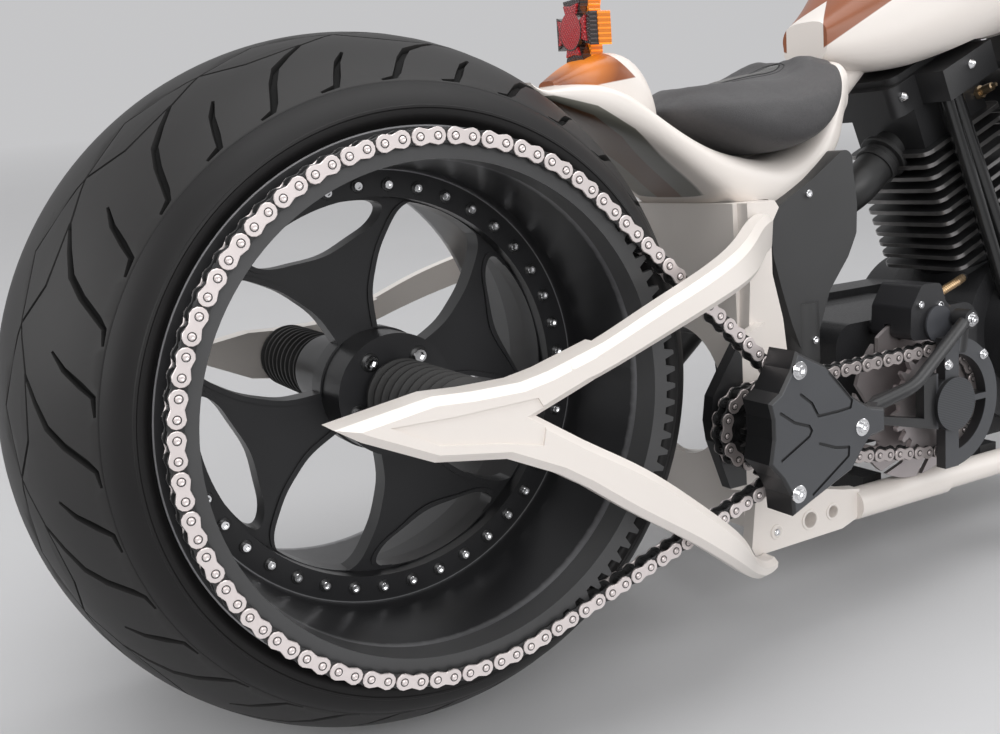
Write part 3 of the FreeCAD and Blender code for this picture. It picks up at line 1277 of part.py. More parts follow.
def yoke(lift, thick, length_ahead, leg_y):
    """One fork clamp: a waisted plate square to the fork."""
    s = fork_sizes
    head, down, out = head_axes()
    o = bike.fork_offset
    corners = [(-s.yoke_back, -s.yoke_waist), (-s.yoke_back, s.yoke_waist),
               (o - s.yoke_round, leg_y + s.yoke_round),
               (o + s.yoke_round * 0.8, leg_y + s.yoke_round), (o + length_ahead, s.yoke_waist),
               (o + length_ahead, -s.yoke_waist), (o + s.yoke_round * 0.8, -leg_y - s.yoke_round),
               (o - s.yoke_round, -leg_y - s.yoke_round)]
    points = [vec(x, y, -thick) for x, y in corners]
    plate = Part.Face(Part.makePolygon(points + points[:1])).extrude(vec(0, 0, thick))
    plate.Placement = Placement(head + down * float(lift), Rotation(Vector(0, 1, 0), -float(bike.rake)))
    return plate


def fork():
    s = fork_sizes
    head, down, out = head_axes()
    axle = vec(AXLE_X, 0, AXLE_Z)
    o = out * float(bike.fork_offset)
    half = bike.head_length / 2
    stem = pole(bike.stem_radius, head - down * float(half + s.stem_over),
                head + down * float(half + s.stem_over))
    plates = [yoke(-half - s.yoke_gap - s.yoke_thick, s.yoke_thick, s.yoke_ahead, s.leg_side),
              yoke(half + s.yoke_gap, s.yoke_thick, s.yoke_ahead, s.leg_side)]
    far = down * float(2 * bike.head_length)
    holes = [pole(s.leg_radius + bike.seat_gap, head + o + vec(0, side * s.leg_side, 0) - far,
                  head + o + vec(0, side * s.leg_side, 0) + far) for side in (-1, 1)]
    deliver("fork_clamps", feature(stem.fuse(plates).cut(holes)))
    sliders = {}
    for label, side in (("fork_leg_right", -1), ("fork_leg_left", 1)):
        aside = vec(0, side * s.leg_side, 0)
        top = head + o + aside - down * float(half + s.leg_top)
        foot = head + o + aside + down * float(FORK_LENGTH)
        wiper = foot - down * float(s.slider_length)
        parts = [pole(s.leg_radius, top, foot), pole(s.slider_radius, wiper, foot),
                 pole(s.slider_radius + s.ring_step, wiper, wiper + down * float(3 * s.ring_step)),
                 pole(s.leg_radius * 0.7, top - down * float(s.ring_step), top),
                 disk(s.lug_radius, axle.x, axle.z, aside.y - s.lug_half, aside.y + s.lug_half)]
        leg = parts[0].fuse(parts[1:])
        sliders[side] = leg
        pin = disk(s.front_pin + s.axle_gap, axle.x, axle.z, aside.y - 2 * s.lug_half,
                   aside.y + 2 * s.lug_half)
        deliver(label, feature(leg.cut(pin)))
    reach = s.leg_side + s.lug_half + s.ring_step
    pin = disk(s.front_pin, axle.x, axle.z, -reach, reach)
    nuts = [disk(s.front_pin * 1.6, axle.x, axle.z, low, low + s.ring_step) for low in (-reach,
                                                                                        reach - s.ring_step)]
    deliver("front_axle", feature(pin.fuse(nuts)))
    top = head - down * float(half + s.yoke_gap + s.yoke_thick + bike.seat_gap)
    halves = []
    grips = []
    for side in (-1, 1):
        base = top + vec(0, side * s.riser_side, 0)
        rise = base - down * float(s.riser_length)
        bend = rise + vec(-s.bar_back * 0.2, side * s.bar_side * 0.5, s.bar_rise)
        end = bend + vec(-s.bar_back, side * s.bar_side * 0.5, -s.bar_rise * 0.5)
        halves.append(tube([base, rise, bend, end], s.bar_radius, s.bar_bend))
        along = (end - bend).normalize()
        grips.append(pole(s.grip_radius, end - along * float(s.grip_length), end))
        perch = end - along * float(s.grip_length + s.grip_radius)
        lever_end = perch + along * float(s.grip_length * 0.9) + vec(s.lever_ahead, 0, -s.lever_ahead * 0.2)
        grips.append(tube([perch, perch + vec(s.lever_ahead * 0.8, 0,
                                              0) + along * float(s.lever_ahead * 0.4), lever_end],
                          s.lever_radius, s.lever_ahead * 0.3))
        grips.append(pole(s.grip_radius * 1.05, perch - along * float(s.grip_radius * 0.6),
                          perch + along * float(s.grip_radius * 0.6)))
    cross = pole(s.bar_radius * 0.9, top - down * float(s.riser_length * 0.6) - vec(0, s.riser_side, 0),
                 top - down * float(s.riser_length * 0.6) + vec(0, s.riser_side, 0))
    deliver("handlebar", feature(halves[0].fuse([halves[1], cross] + grips)))
    headlight(head, down, out)
    front_caliper(axle, sliders[1])


def headlight(head, down, out):
    """Bowl lamp with its ring, on a stay from the lower clamp."""
    s = fork_sizes
    lift = bike.head_length / 2 + s.yoke_gap + s.yoke_thick / 2
    front = bike.fork_offset + s.yoke_ahead + bike.seat_gap
    root = head + out * float(front) + down * float(lift)
    lamp = root + out * float(s.lamp_ahead) - down * float(s.lamp_lift)
    stay = tube([root, root + out * float(s.lamp_ahead * 0.5), lamp], s.lamp_stay, s.lamp_stay)
    bowl = Part.makeSphere(float(s.lamp_radius), vec(0, 0, 0)).common(
        slab((-s.lamp_radius, 0), (-s.lamp_radius, s.lamp_radius), (-s.lamp_radius, s.lamp_radius)))
    rim = Part.makeCylinder(float(s.lamp_radius), float(s.lamp_rim), Vector(), Vector(1, 0, 0))
    lens = Part.makeCylinder(float(s.lamp_radius * 0.88), float(s.lamp_rim * 0.4), vec(s.lamp_rim, 0, 0),
                             Vector(1, 0, 0))
    shell = bowl.fuse([rim, lens])
    shell.translate(lamp)
    deliver("headlight", feature(shell.fuse(stay)))


def front_caliper(axle, slider):
    """Caliper behind the left slider, over the front disc's edge."""
    s = fork_sizes
    d = s.disc_radius
    turn = Rotation(Vector(0, 1, 0), -float(bike.rake))
    body = slab((-d * 0.78, -d * 0.2), (s.brake_near - s.pad_reach,
                                        s.brake_near + s.disc_thick + s.pad_reach), (d * 0.46, d * 1.04))
    body = rounded(body, s.ring_step * 2, Vector(0, 1, 0))
    slot = disk(d + s.disc_gap, 0, 0, s.brake_near - s.disc_gap, s.brake_near + s.disc_thick + s.disc_gap)
    ear = slab((-d * 0.32, 0), (s.brake_near + s.disc_thick + s.disc_gap + s.ring_step,
                                s.leg_side - s.ring_step), (d * 0.58, d * 0.78))
    body = body.cut(slot).fuse(ear)
    body.Placement = Placement(axle, turn)
    deliver("front_caliper", feature(one_solid(body.cut(slider))))


def front_wheel():
    s = fork_sizes
    at = (AXLE_X, 0, AXLE_Z)
    v = sizes(front_tyre_half=66.0, front_shoulder_share=0.86, front_bulge_share=0.6, front_bead_half=48.0,
              front_bead_wall=12.0, front_flange=9.0, front_flange_half=54.0, front_well=18.0,
              front_lip=6.0,
              front_well_half=40.0, front_hub_half=60.0, front_petal_lip=4.0, front_plate_half=9.0,
              front_hub=40.0)
    bead = bike.front_radius - bike.front_section
    tyre("front_tyre", bike.front_radius, bike.front_crown, v.front_tyre_half, v.front_shoulder_share,
         v.front_bulge_share, bead, v.front_bead_half, v.front_bead_wall, at)
    seat = bead - bike.seat_gap
    f = v.front_bead_half + bike.seat_gap
    flange = bead + v.front_flange
    well = bead - v.front_well
    e = v.front_flange_half
    points = [(well, -v.front_well_half), (bead - v.front_lip, -e), (flange, -e), (flange, -f), (seat, -f),
              (seat, f),
              (flange, f), (flange, e), (bead - v.front_lip, e), (well, v.front_well_half)]
    deliver("front_rim", turned(points), at)
    disc = flared_disc(well - bike.seat_gap, v.front_hub, -v.front_plate_half, v.front_plate_half,
                       v.front_petal_lip, 20)
    hub = disk(v.front_hub * 0.85, 0, 0, -v.front_hub_half, v.front_hub_half)
    bore = disk(s.front_pin + bike.running_gap, 0, 0, -2 * v.front_hub_half, 2 * v.front_hub_half)
    deliver("front_wheel_centre", feature(disc.fuse(hub).cut(bore)), at)
    low, high = s.brake_near, s.brake_near + s.disc_thick
    brake = ring(s.disc_radius, s.disc_radius * 0.64, 0, 0, low, high)
    holes = []
    for k in range(int(float(s.hole_count))):
        a = 2 * math.pi * k / float(s.hole_count)
        reach = s.disc_radius * (0.74 if k % 2 else 0.88)
        holes.append(disk(s.hole_radius, reach * math.cos(a), reach * math.sin(a), low, high))
    web = disk(s.disc_radius * 0.66, 0, 0, low, low + s.disc_thick * 0.6)
    web = web.cut(disk(s.front_pin * 1.6, 0, 0, low, high))
    deliver("front_disc", feature(brake.cut(holes).fuse(web)), at)


spine_sizes = sizes(spine_radius=22.0, spine_bend=60.0)
frame_sizes = sizes(post_depth=20.0, cheek_depth=14.0, web_window=76.0, hole_rear=9.0, hole_front=7.0,
                    hole_first=50.0, hole_second=85.0,
                    hole_height=114.0, hole_step=2.0, rail_start=124.0, sleeve_step=3.0,
                    sleeve_length=150.0,
                    rail_knee=216.0, knee_step=100.0, knee_rise=72.0, knee_share=0.89, rail_bend=60.0,
                    neck_ahead=22.0,
                    neck_side=24.0, neck_drop=44.0)
stand_sizes = sizes(pivot_ahead=336.0, pivot_side=32.0, pivot_drop=4.0, eye_half=7.0, eye_radius=16.0,
                    ear_gap=0.5,
                    ear_radius=17.0, ear_thick=8.5, ear_swing=7.0, pin_radius=6.0, web_half=15.0,
                    web_inset=4.0,
                    web_back=12.0, foot_ahead=46.0, foot_side=322.0, foot_lift=16.0, neck_length=50.0,
                    leg_bend=20.0, stand_radius=9.0, pad_radius=32.0, pad_thick=10.0, spur_start=0.0,
                    spur_length=70.0)
shell_sizes = sizes(shell_wide=96.0, seat_wide=126.0, tank_wide=140.0, filler_radius=30.0, filler_rise=14.0)
engine_sizes = sizes(case_radius=118.0, case_half=70.0, cam_radius=84.0, cam_face=104.0, cam_rise=10.0,
                     cam_rib=3.0,
                     sump_half=150.0, sump_side=50.0, sump_drop=136.0, foot_length=30.0, foot_rear=124.0,
                     foot_front=86.0, foot_below=14.0, foot_above=8.0, deck_radius=62.0, deck_height=118.0,
                     barrel_start=118.15, barrel_radius=56.0, fin_count=11, fin_start=132.0, fin_step=16.0,
                     fin_thick=5.0, fin_wide=75.0, fin_side=65.0, fin_round=14.0, head_start=290.0,
                     head_wide=60.0,
                     head_side=52.0, box_start=350.0, box_top=388.0, box_wide=88.0, box_side=54.0,
                     lid_rise=8.0,
                     tower_wide=45.0, tower_side=96.0, split_gap=1.5, rod_near=34.0, rod_far=62.0,
                     rod_radius=9.0,
                     rod_top_side=78.0, rod_foot_side=88.0, rod_foot_rise=50.0, box_back=136.0,
                     gear_length=244.0,
                     gear_side=80.0, gear_drop=92.0, gear_rise=58.0, gear_round=26.0, primary_front=96.0,
                     primary_rear=84.0, primary_face=142.0, primary_step=10.0, primary_drop=12.0,
                     primary_span=270.0,
                     primary_dome=8.0)
control_sizes = sizes(peg_ahead=146.0, peg_bar=112.0, peg_length=92.0, peg_shaft=11.0, peg_radius=16.0,
                      pedal_length=96.0, pedal_rise=52.0, pedal_radius=6.0, pedal_bend=26.0)
fork_sizes = sizes(leg_side=104.0, leg_radius=25.0, slider_radius=30.0, slider_length=330.0, leg_top=70.0,
                   ring_step=4.0, lug_radius=26.0, lug_half=31.0, front_pin=10.0, axle_gap=0.1,
                   stem_over=35.0,
                   yoke_back=32.0, yoke_waist=24.0, yoke_round=34.0, yoke_thick=28.0, yoke_gap=8.0,
                   yoke_ahead=32.0,
                   riser_side=52.0, riser_length=90.0, bar_back=120.0, bar_side=360.0, bar_rise=60.0,
                   bar_radius=12.5,
                   bar_bend=30.0, grip_radius=17.0, grip_length=125.0, lever_ahead=46.0, lever_radius=5.0,
                   lamp_ahead=92.0, lamp_lift=24.0, lamp_stay=9.0, lamp_radius=64.0, lamp_rim=34.0,
                   disc_radius=146.0,
                   brake_near=60.1, disc_thick=5.0, disc_gap=5.0, pad_reach=16.0, hole_count=36,
                   hole_radius=4.0)

tyre_sizes = rear_tyre()
rear_rim(tyre_sizes)
sprocket_ring()
centre_sizes = rear_wheel_centre()
rear_axle()
inside = bike.arm_outer - bike.arm_depth - bike.seat_gap
bellows("bellows_right", -inside, -centre_sizes.hub_near - bike.moving_gap)
bellows("bellows_left", centre_sizes.hub_far + bike.moving_gap, inside)
swingarm("swingarm_right", -1)
swingarm("swingarm_left", 1)
chain_sizes = chains()
jack_sizes = jackshaft()
rotor_sizes = output_rotor()
rotor_caliper(rotor_sizes)
drive_cover(rotor_sizes, chain_sizes)
frame_side("frame_side_right", -1)
frame_side("frame_side_left", 1)
frame_spine()
tail_cowl()
seat_pad()
tail_light()
fuel_tank()
oil_tank()
engine_case()
for label, way in (("rear_cylinder", -1), ("front_cylinder", 1)):
    deliver(label, feature(cylinder_shape(way).removeSplitter()))
pushrods()
air_cleaner()
gearbox()
primary_cover()
exhaust_pipes()
foot_controls("foot_controls_right", -1)
foot_controls("foot_controls_left", 1)
fork()
front_wheel()
side_stand()

doc.recompute()
# The origin is on the ground, below the middle of the whole bike.
boxes = [item.Shape.optimalBoundingBox() for item in nodes.values()]
ORIGIN = Vector((min(b.XMin for b in boxes) + max(b.XMax for b in boxes)) / 2,
                (min(b.YMin for b in boxes) + max(b.YMax for b in boxes)) / 2, min(b.ZMin for b in boxes))
for item in nodes.values():
    item.Placement = Placement(-ORIGIN, Rotation()).multiply(item.Placement)
doc.recompute()
failed = [item.Label for item in doc.Objects if {"Invalid", "Error"} & set(item.State)]
failed += [label for label, item in nodes.items() if item.Shape.isNull() or not item.Shape.isValid()]
if failed:
    raise RuntimeError("these did not build: " + ", ".join(failed))
os.makedirs("parts", exist_ok=True)
for label, item in nodes.items():
    item.Shape.exportStep(f"parts/{label}.step")
    print(label, len(item.Shape.Solids), round(item.Shape.Volume / 1000), "cm3")
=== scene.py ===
"""Looks of a long custom motorcycle on a wide rear tyre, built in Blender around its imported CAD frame."""

import json
import math

import bmesh
import bpy
from bpy.props import FloatProperty, FloatVectorProperty, PointerProperty
from mathutils import Matrix, Vector
from mathutils.bvhtree import BVHTree
from mathutils.geometry import delaunay_2d_cdt


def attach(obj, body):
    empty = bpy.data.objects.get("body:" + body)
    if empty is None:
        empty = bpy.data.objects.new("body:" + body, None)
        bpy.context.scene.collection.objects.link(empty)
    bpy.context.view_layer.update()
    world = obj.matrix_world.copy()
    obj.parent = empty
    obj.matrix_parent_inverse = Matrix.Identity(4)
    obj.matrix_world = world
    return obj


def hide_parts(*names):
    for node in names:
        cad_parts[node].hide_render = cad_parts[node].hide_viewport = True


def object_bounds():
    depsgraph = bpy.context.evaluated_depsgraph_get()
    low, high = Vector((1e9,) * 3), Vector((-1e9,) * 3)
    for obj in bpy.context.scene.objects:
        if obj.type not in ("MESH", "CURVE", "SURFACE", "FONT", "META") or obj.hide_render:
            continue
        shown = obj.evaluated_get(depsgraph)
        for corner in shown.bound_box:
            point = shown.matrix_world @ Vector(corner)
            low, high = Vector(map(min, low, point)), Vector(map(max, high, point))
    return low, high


bl_info = {
    "name": "Custom motorcycle looks",
    "version": (1, 0, 0),
    "blender": (4, 5, 0),
    "location": "View3D > Sidebar > Motorcycle",
    "description": "Builds the tyres, chains, screws, saddle and finishes round the packed motorcycle frame",
    "category": "Object",
}

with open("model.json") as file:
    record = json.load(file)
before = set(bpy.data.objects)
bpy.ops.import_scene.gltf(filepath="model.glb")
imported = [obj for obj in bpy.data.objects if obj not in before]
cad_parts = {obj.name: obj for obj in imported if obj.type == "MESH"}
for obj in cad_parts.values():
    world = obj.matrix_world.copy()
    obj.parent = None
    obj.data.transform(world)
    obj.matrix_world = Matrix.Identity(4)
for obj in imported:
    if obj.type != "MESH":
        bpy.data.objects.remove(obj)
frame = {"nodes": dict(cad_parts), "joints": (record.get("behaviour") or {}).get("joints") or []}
CAD_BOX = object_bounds()
JOINTS = {joint["name"]: joint for joint in frame["joints"]}

# The bike's own axes, upright and in millimetres: X forward, Y left, Z up from the ground under the rear axle
MM = 0.001
REAR_RADIUS = 336.5
FRONT_AXLE = Vector((1919.9, 0, 341.93))
REAR_AXLE = Vector((0, 0, REAR_RADIUS))
CRANK = Vector((914, 0, 262))
OUTPUT = Vector((640, 0, 230))
JACK = Vector((365, 0, 249.3))
TANK_CAP_X = 885
# How far each cylinder leans from the upright, the tail light's middle, and the direction up the fork
TILT = math.radians(22.5)
TAIL_LAMP_X, TAIL_LAMP_Z = 300.2, 669.65
FORK_UP = Vector((-0.6428, 0, 0.766))
# The pitch of both chains
PITCH = 15.875
# How far a painted edge fades, in millimetres
PAINT_EDGE = 0.6
# The lower edge of the tail's white skin, under which the underside is painted in shade: (start, end, drop)
# of each stretch along x, its start and its end
SKIN_EDGE = ((221, 261.5, 13.6), (261.5, 300, 25.7), (300, 389, 75.7))
SKIN_EDGE_START = 603.0
SKIN_END = 389
# The lower bound of the tank's inlay: factors of x, the distance aside and z, and the offset of that plane
LOW_EDGE = Vector((-0.3989, 0.3242, 0.8577, 299.9))
ACROSS = Vector(JOINTS["rear_wheel_spin"]["axis"])
AHEAD = Vector((1, 0, 0))
UPRIGHT = AHEAD.cross(ACROSS)
TURN = Matrix((AHEAD, ACROSS, UPRIGHT)).transposed()
HUB = Vector(JOINTS["rear_wheel_spin"]["pos_m"])
BIKE = Matrix.Translation(HUB - TURN @ REAR_AXLE * MM) @ TURN.to_4x4() @ Matrix.Scale(MM, 4)


def at(x, y, z):
    """A point of the bike's own axes in the row frame."""
    return BIKE @ Vector((x, y, z))


# Materials


class Value:
    """A number on its way through a material. Sums on it add Math nodes."""

    def __init__(self, finish, socket):
        self.finish = finish
        self.socket = socket

    def math(self, operation, *others, swap=False):
        terms = (self,) + others
        if swap:
            terms = others + (self,)
        inputs = dict(enumerate(terms))
        return self.finish.node("ShaderNodeMath", {"operation": operation}, inputs)

    def __add__(self, other):
        return self.math("ADD", other)

    def __sub__(self, other):
        return self.math("SUBTRACT", other)

    def __rsub__(self, other):
        return self.math("SUBTRACT", other, swap=True)

    def __mul__(self, other):
        return self.math("MULTIPLY", other)

    __radd__ = __add__
    __rmul__ = __mul__

    def size(self):
        return self.math("ABSOLUTE")

    def clamp(self):
        return self.math("MINIMUM", 1).math("MAXIMUM", 0)

    def ramp(self, low, high):
        """0 below low and 1 above high, or the other way round where low is above high."""
        return ((self - low) * (1 / (high - low))).clamp()

    def band(self, middle, half, soft):
        """1 within half of the middle, fading out over soft."""
        return (self - middle).size().ramp(half + soft, half)


class Finish:
    """A material on the Principled shader, with the bike's own axes at hand."""

    def __init__(self, name, colour, rough, **settings):
        self.material = bpy.data.materials.new(name)
        self.material.use_nodes = True
        self.material.diffuse_color = (*colour, 1)
        self.tree = self.material.node_tree
        self.shader = self.tree.nodes["Principled BSDF"]
        self.put("Base Color", (*colour, 1))
        self.put("Roughness", rough)
        self.colour = colour
        for socket, value in settings.items():
            self.put(socket.replace("_", " ").title().replace("Ior", "IOR"), value)

    def put(self, socket, value):
        target = self.shader.inputs[socket]
        if isinstance(value, Value):
            self.tree.links.new(value.socket, target)
        elif target.type == "RGBA" and len(value) == 3:
            target.default_value = (*value, 1)
        else:
            target.default_value = value
        return self

    def node(self, kind, settings, inputs, output=0):
        node = self.tree.nodes.new(kind)
        for key, value in settings.items():
            setattr(node, key, value)
        for key, value in inputs.items():
            if isinstance(value, Value):
                self.tree.links.new(value.socket, node.inputs[key])
            else:
                node.inputs[key].default_value = value
        return Value(self, node.outputs[output])

    def row(self):
        return self.node("ShaderNodeTexCoord", {}, {}, "Object")

    def place(self, centre=(0, 0, 0), pitch=0.0):
        """Coordinates in millimetres from a point of the bike, in its own axes, turned by pitch about Y."""
        turn = TURN @ Matrix.Rotation(pitch, 3, "Y")
        inputs = {"Vector": self.row(), "Location": at(*centre), "Rotation": turn.to_euler("XYZ"),
                  "Scale": (MM, MM, MM)}
        return self.node("ShaderNodeMapping", {"vector_type": "TEXTURE"}, inputs)

    def parts(self, place):
        split = self.node("ShaderNodeSeparateXYZ", {}, {0: place}).socket.node
        return [Value(self, split.outputs[k]) for k in range(3)]

    def radius(self, x, z):
        return (x * x + z * z).math("SQRT")

    def noise(self, size, detail=3.0, place=None, stretch=None):
        """Noise with grains of that size in millimetres, from 0 to 1."""
        vector = place or self.row()
        scale = 1 / size if place else 1 / (size * MM)
        if stretch:
            vector = self.node("ShaderNodeMapping", {}, {"Vector": vector, "Scale": stretch})
        inputs = {"Vector": vector, "Scale": scale, "Detail": detail}
        return self.node("ShaderNodeTexNoise", {}, inputs, 0)

    def cell_edges(self, size):
        """How far a point is from the edge of its cell, for cells of that size in millimetres."""
        inputs = {"Vector": self.row(), "Scale": 1 / (size * MM)}
        return self.node("ShaderNodeTexVoronoi", {"feature": "DISTANCE_TO_EDGE"}, inputs, 0)

    def wave(self, value, length):
        """A wave from 0 to 1 along a value, of that length."""
        return (value * (2 * math.pi / length)).math("SINE") * 0.5 + 0.5

    def mix(self, factor, first, second):
        inputs = {0: factor, 6: first if isinstance(first, Value) else (*first, 1),
                  7: second if isinstance(second, Value) else (*second, 1)}
        return self.node("ShaderNodeMix", {"data_type": "RGBA"}, inputs, 2)

    def attribute(self, name):
        return self.node("ShaderNodeAttribute", {"attribute_name": name}, {}, "Fac")

    def bump(self, height, depth, strength=0.6):
        """Bump of that depth in millimetres."""
        inputs = {"Strength": strength, "Distance": depth * MM, "Height": height}
        return self.put("Normal", self.node("ShaderNodeBump", {}, inputs))


FINISHES = {}


def finish(maker, *args):
    """The material of that maker, made once."""
    key = (maker.__name__,) + args
    if key not in FINISHES:
        FINISHES[key] = maker(*args).material
    return FINISHES[key]


def shade(colour, share):
    """A colour made darker or lighter by a share."""
    return tuple(part * share for part in colour)


def paint(made, grain=0.12, mottle=0.04):
    """Orange peel and a slight mottle, as on every sprayed piece."""
    peel = made.noise(2.2, 2.0)
    cloud = made.noise(90.0, 3.0)
    made.put("Roughness", made.shader.inputs["Roughness"].default_value + (cloud - 0.5) * mottle * 2)
    made.bump(peel, grain, 0.25)
    return made, cloud


def white_paint(name):
    """Satin warm white with a soft clear coat: the finish, its cloud and its colour."""
    colour = tuple(looks().white)
    made, cloud = paint(Finish(name, colour, 0.42, coat_weight=0.35, coat_roughness=0.22))
    return made, cloud, made.mix(cloud, shade(colour, 0.97), shade(colour, 1.0))


def warm_white():
    """The plain white paint."""
    made, _, pale = white_paint("warm_white_paint")
    return made.put("Base Color", pale)


def tail_inlay(x, z):
    """1 on the inlay under the tail light: above a shallow V, and behind a line that leans back."""
    tip_x, tip_z, rise, front_lean, front = 268, 610, 0.12, 1.07, 985
    above = (z - tip_z - (x - tip_x).size() * rise).ramp(-PAINT_EDGE, PAINT_EDGE)
    return above * (x + z * front_lean - front).ramp(PAINT_EDGE, -PAINT_EDGE)


def tank_inlay(x, aside, z):
    """1 on the tank's inlay: above one plane on each flank, and ahead of the tank's square rear face."""
    rear_lean, rear, tail_end, widest = 1.21, 637, 540, 100
    low = (x * LOW_EDGE.x - aside * LOW_EDGE.y + z * LOW_EDGE.z - LOW_EDGE.w).ramp(-PAINT_EDGE, PAINT_EDGE)
    ahead = (x + aside * rear_lean - rear).ramp(-PAINT_EDGE, PAINT_EDGE)
    return low * ahead * x.ramp(tail_end, tail_end + 5) * aside.ramp(widest, widest - 2)


def inlaid_white():
    """White with copper inlays below the tail light and on the tank, painted shade in grey and brown on the
    tail's underside, and a painted glow of the tail light on the inlay below it.
    """
    made, cloud, pale = white_paint("inlaid_white_paint")
    x, y, z = made.parts(made.place())
    aside = y.size()
    hump = tail_inlay(x, z)
    inlay = (hump + tank_inlay(x, aside, z)).clamp()
    copper = made.mix(cloud, shade(tuple(looks().copper), 0.8), shade(tuple(looks().copper), 1.15))
    base = made.mix(inlay, pale, copper)
    # Painted shade on the tail's underside: grey below the white skin's edge, and brown further below and
    # nearer the middle.
    below = SKIN_EDGE_START - z
    for start, end, drop in SKIN_EDGE:
        below = below - x.ramp(start, end) * drop
    tail = x.ramp(SKIN_END + 1, SKIN_END)
    brown = below - aside * 0.27 + 4
    for depth, tone in ((below, (0.15, 0.147, 0.125)), (brown, (0.10, 0.033, 0.004))):
        base = made.mix(depth.ramp(-0.4, 0.4) * tail, base, tone)
    made.put("Base Color", base)
    # Painted light: the tail light's orange glow, painted as emission on the inlay round it.
    lamp_x, lamp_z, glow_reach = 272, 636, 34
    glow = hump * made.radius(x - lamp_x, z - lamp_z).ramp(glow_reach, 4)
    made.put("Emission Color", made.mix(glow, (0, 0, 0), (0.9, 0.28, 0.02)))
    return made.put("Emission Strength", 0.7)


def framed_white():
    """White with painted shade, near black, on the cheek plate behind the front sprocket on the right side.
    """
    made, _, pale = white_paint("framed_white_paint")
    x, y, z = made.parts(made.place())
    front, low, high, face = 371.5, 180, 352, -119.0
    between = z.ramp(low, low + 1) * z.ramp(high, high - 1)
    # Painted shade: the cheek plate, which lies in shade, is painted near black.
    cheek = x.ramp(front + 1, front) * between * y.ramp(face, face - 0.6)
    return made.put("Base Color", made.mix(cheek, pale, (0.014, 0.014, 0.015)))


def satin_black(name, tone, rough, grain):
    """Black or grey paint with fine grain and a few paler rubbed clouds."""
    made = Finish(name, (tone, tone, tone * 1.05), rough, coat_weight=0.12, coat_roughness=0.3)
    made, cloud = paint(made, grain, 0.08)
    made.put("Base Color", made.mix(cloud, (tone * 0.8,) * 3, (tone * 1.25, tone * 1.25, tone * 1.3)))
    return made


def wrinkle_black():
    """The engine's wrinkled black finish."""
    made = Finish("wrinkle_black", (0.014, 0.014, 0.015), 0.48, coat_weight=0.1)
    wrinkle = made.noise(2.6, 4.0)
    made.put("Roughness", 0.4 + wrinkle * 0.25)
    made.put("Base Color", made.mix(made.noise(70.0), (0.010, 0.010, 0.011), (0.022, 0.022, 0.024)))
    return made.bump(wrinkle, 0.8, 0.5)


def rubber(name, tone):
    """Dull rubber with dust on it."""
    made = Finish(name, (tone,) * 3, 0.62, specular_ior_level=0.35)
    dust = made.noise(45.0, 4.0)
    made.put("Base Color", made.mix(dust, (tone * 0.8,) * 3, (tone * 1.35, tone * 1.3, tone * 1.28)))
    made.put("Roughness", 0.52 + dust * 0.2)
    return made.bump(made.noise(0.9, 2.0), 0.25, 0.4)


def metal(name, colour, rough, scratch=0.12):
    """Bare metal with fine scratches and a cloudy polish."""
    made = Finish(name, colour, rough, metallic=1.0)
    fine = made.noise(1.4, 3.0, stretch=(1, 1, 9))
    cloud = made.noise(25.0)
    made.put("Roughness", rough - scratch / 2 + fine * scratch + (cloud - 0.5) * 0.06)
    made.put("Base Color", made.mix(cloud, shade(colour, 0.86), shade(colour, 1.0)))
    return made.bump(fine, 0.05, 0.3)


def rim_black(centre, lines):
    """Satin black with thin bright machined edges at the given radii, round a wheel's centre."""
    made = Finish("machined_black", (0.018, 0.018, 0.020), 0.36, coat_weight=0.16, coat_roughness=0.2,
                  specular_ior_level=0.35)
    x, _, z = made.parts(made.place(centre))
    reach = made.radius(x, z)
    line = sum((reach.band(radius, half, 0.5) for radius, half in lines), 0 * x).clamp()
    cloud = made.noise(60.0)
    black = made.mix(cloud, (0.011, 0.011, 0.012), (0.022, 0.022, 0.024))
    made.put("Base Color", made.mix(line, black, (0.30, 0.30, 0.31)))
    made.put("Metallic", line * 0.8)
    made.put("Roughness", 0.30 + cloud * 0.14)
    return made.bump(made.noise(1.6, 2.0), 0.08, 0.25)


def turned_steel(centre, tone, rough):
    """Steel with turning marks round its own centre."""
    warm = (tone, tone * 0.9, tone * 0.9)
    made = Finish("turned_steel", warm, rough, metallic=0.75)
    x, _, z = made.parts(made.place(centre))
    reach = made.radius(x, z)
    outwards = made.node("ShaderNodeCombineXYZ", {}, {0: reach, 1: 0 * x, 2: 0 * x})
    rings = made.noise(1.3, 2.0, place=outwards)
    cloud = made.noise(30.0)
    made.put("Roughness", rough - 0.08 + rings * 0.16)
    made.put("Base Color", made.mix(cloud, shade(warm, 0.85), (tone, tone * 0.91, tone * 0.91)))
    return made.bump(rings, 0.08, 0.35)


def cover_grey():
    """Blue-grey satin faces over black side walls, for the jackshaft cover and its half ring."""
    made = Finish("cover_grey", (0.07, 0.075, 0.085), 0.44, coat_weight=0.15, coat_roughness=0.3)
    made, cloud = paint(made, 0.1, 0.06)
    x, y, z = made.parts(made.place())
    cover_y, ring_y, ring_x, cap_y, cap_radius = -245.0, -178.0, 590, -183.2, 31.6
    face = y.ramp(cover_y, cover_y - 0.8) + y.band(ring_y, 0.6, 0.4) * x.ramp(ring_x, ring_x + 10)
    middle = made.radius(x - OUTPUT.x, z - OUTPUT.z)
    cap = y.ramp(cap_y, cap_y - 0.6) * middle.ramp(cap_radius, cap_radius - 0.4)
    grey = (face + cap).clamp()
    ribs = made.wave(z * 0.94 + x * 0.35, 2.6) * cap
    pale = made.mix(cloud, (0.046, 0.048, 0.053), (0.062, 0.064, 0.070))
    pale = made.mix(ribs, pale, (0.03, 0.032, 0.036))
    lug_x, lug_z, lug_radius = 664, 324, 16
    rod = made.radius(x - lug_x, z - lug_z).ramp(lug_radius, lug_radius - 1)
    made.put("Base Color", made.mix((grey - rod).clamp(), (0.012, 0.012, 0.013), pale))
    return made


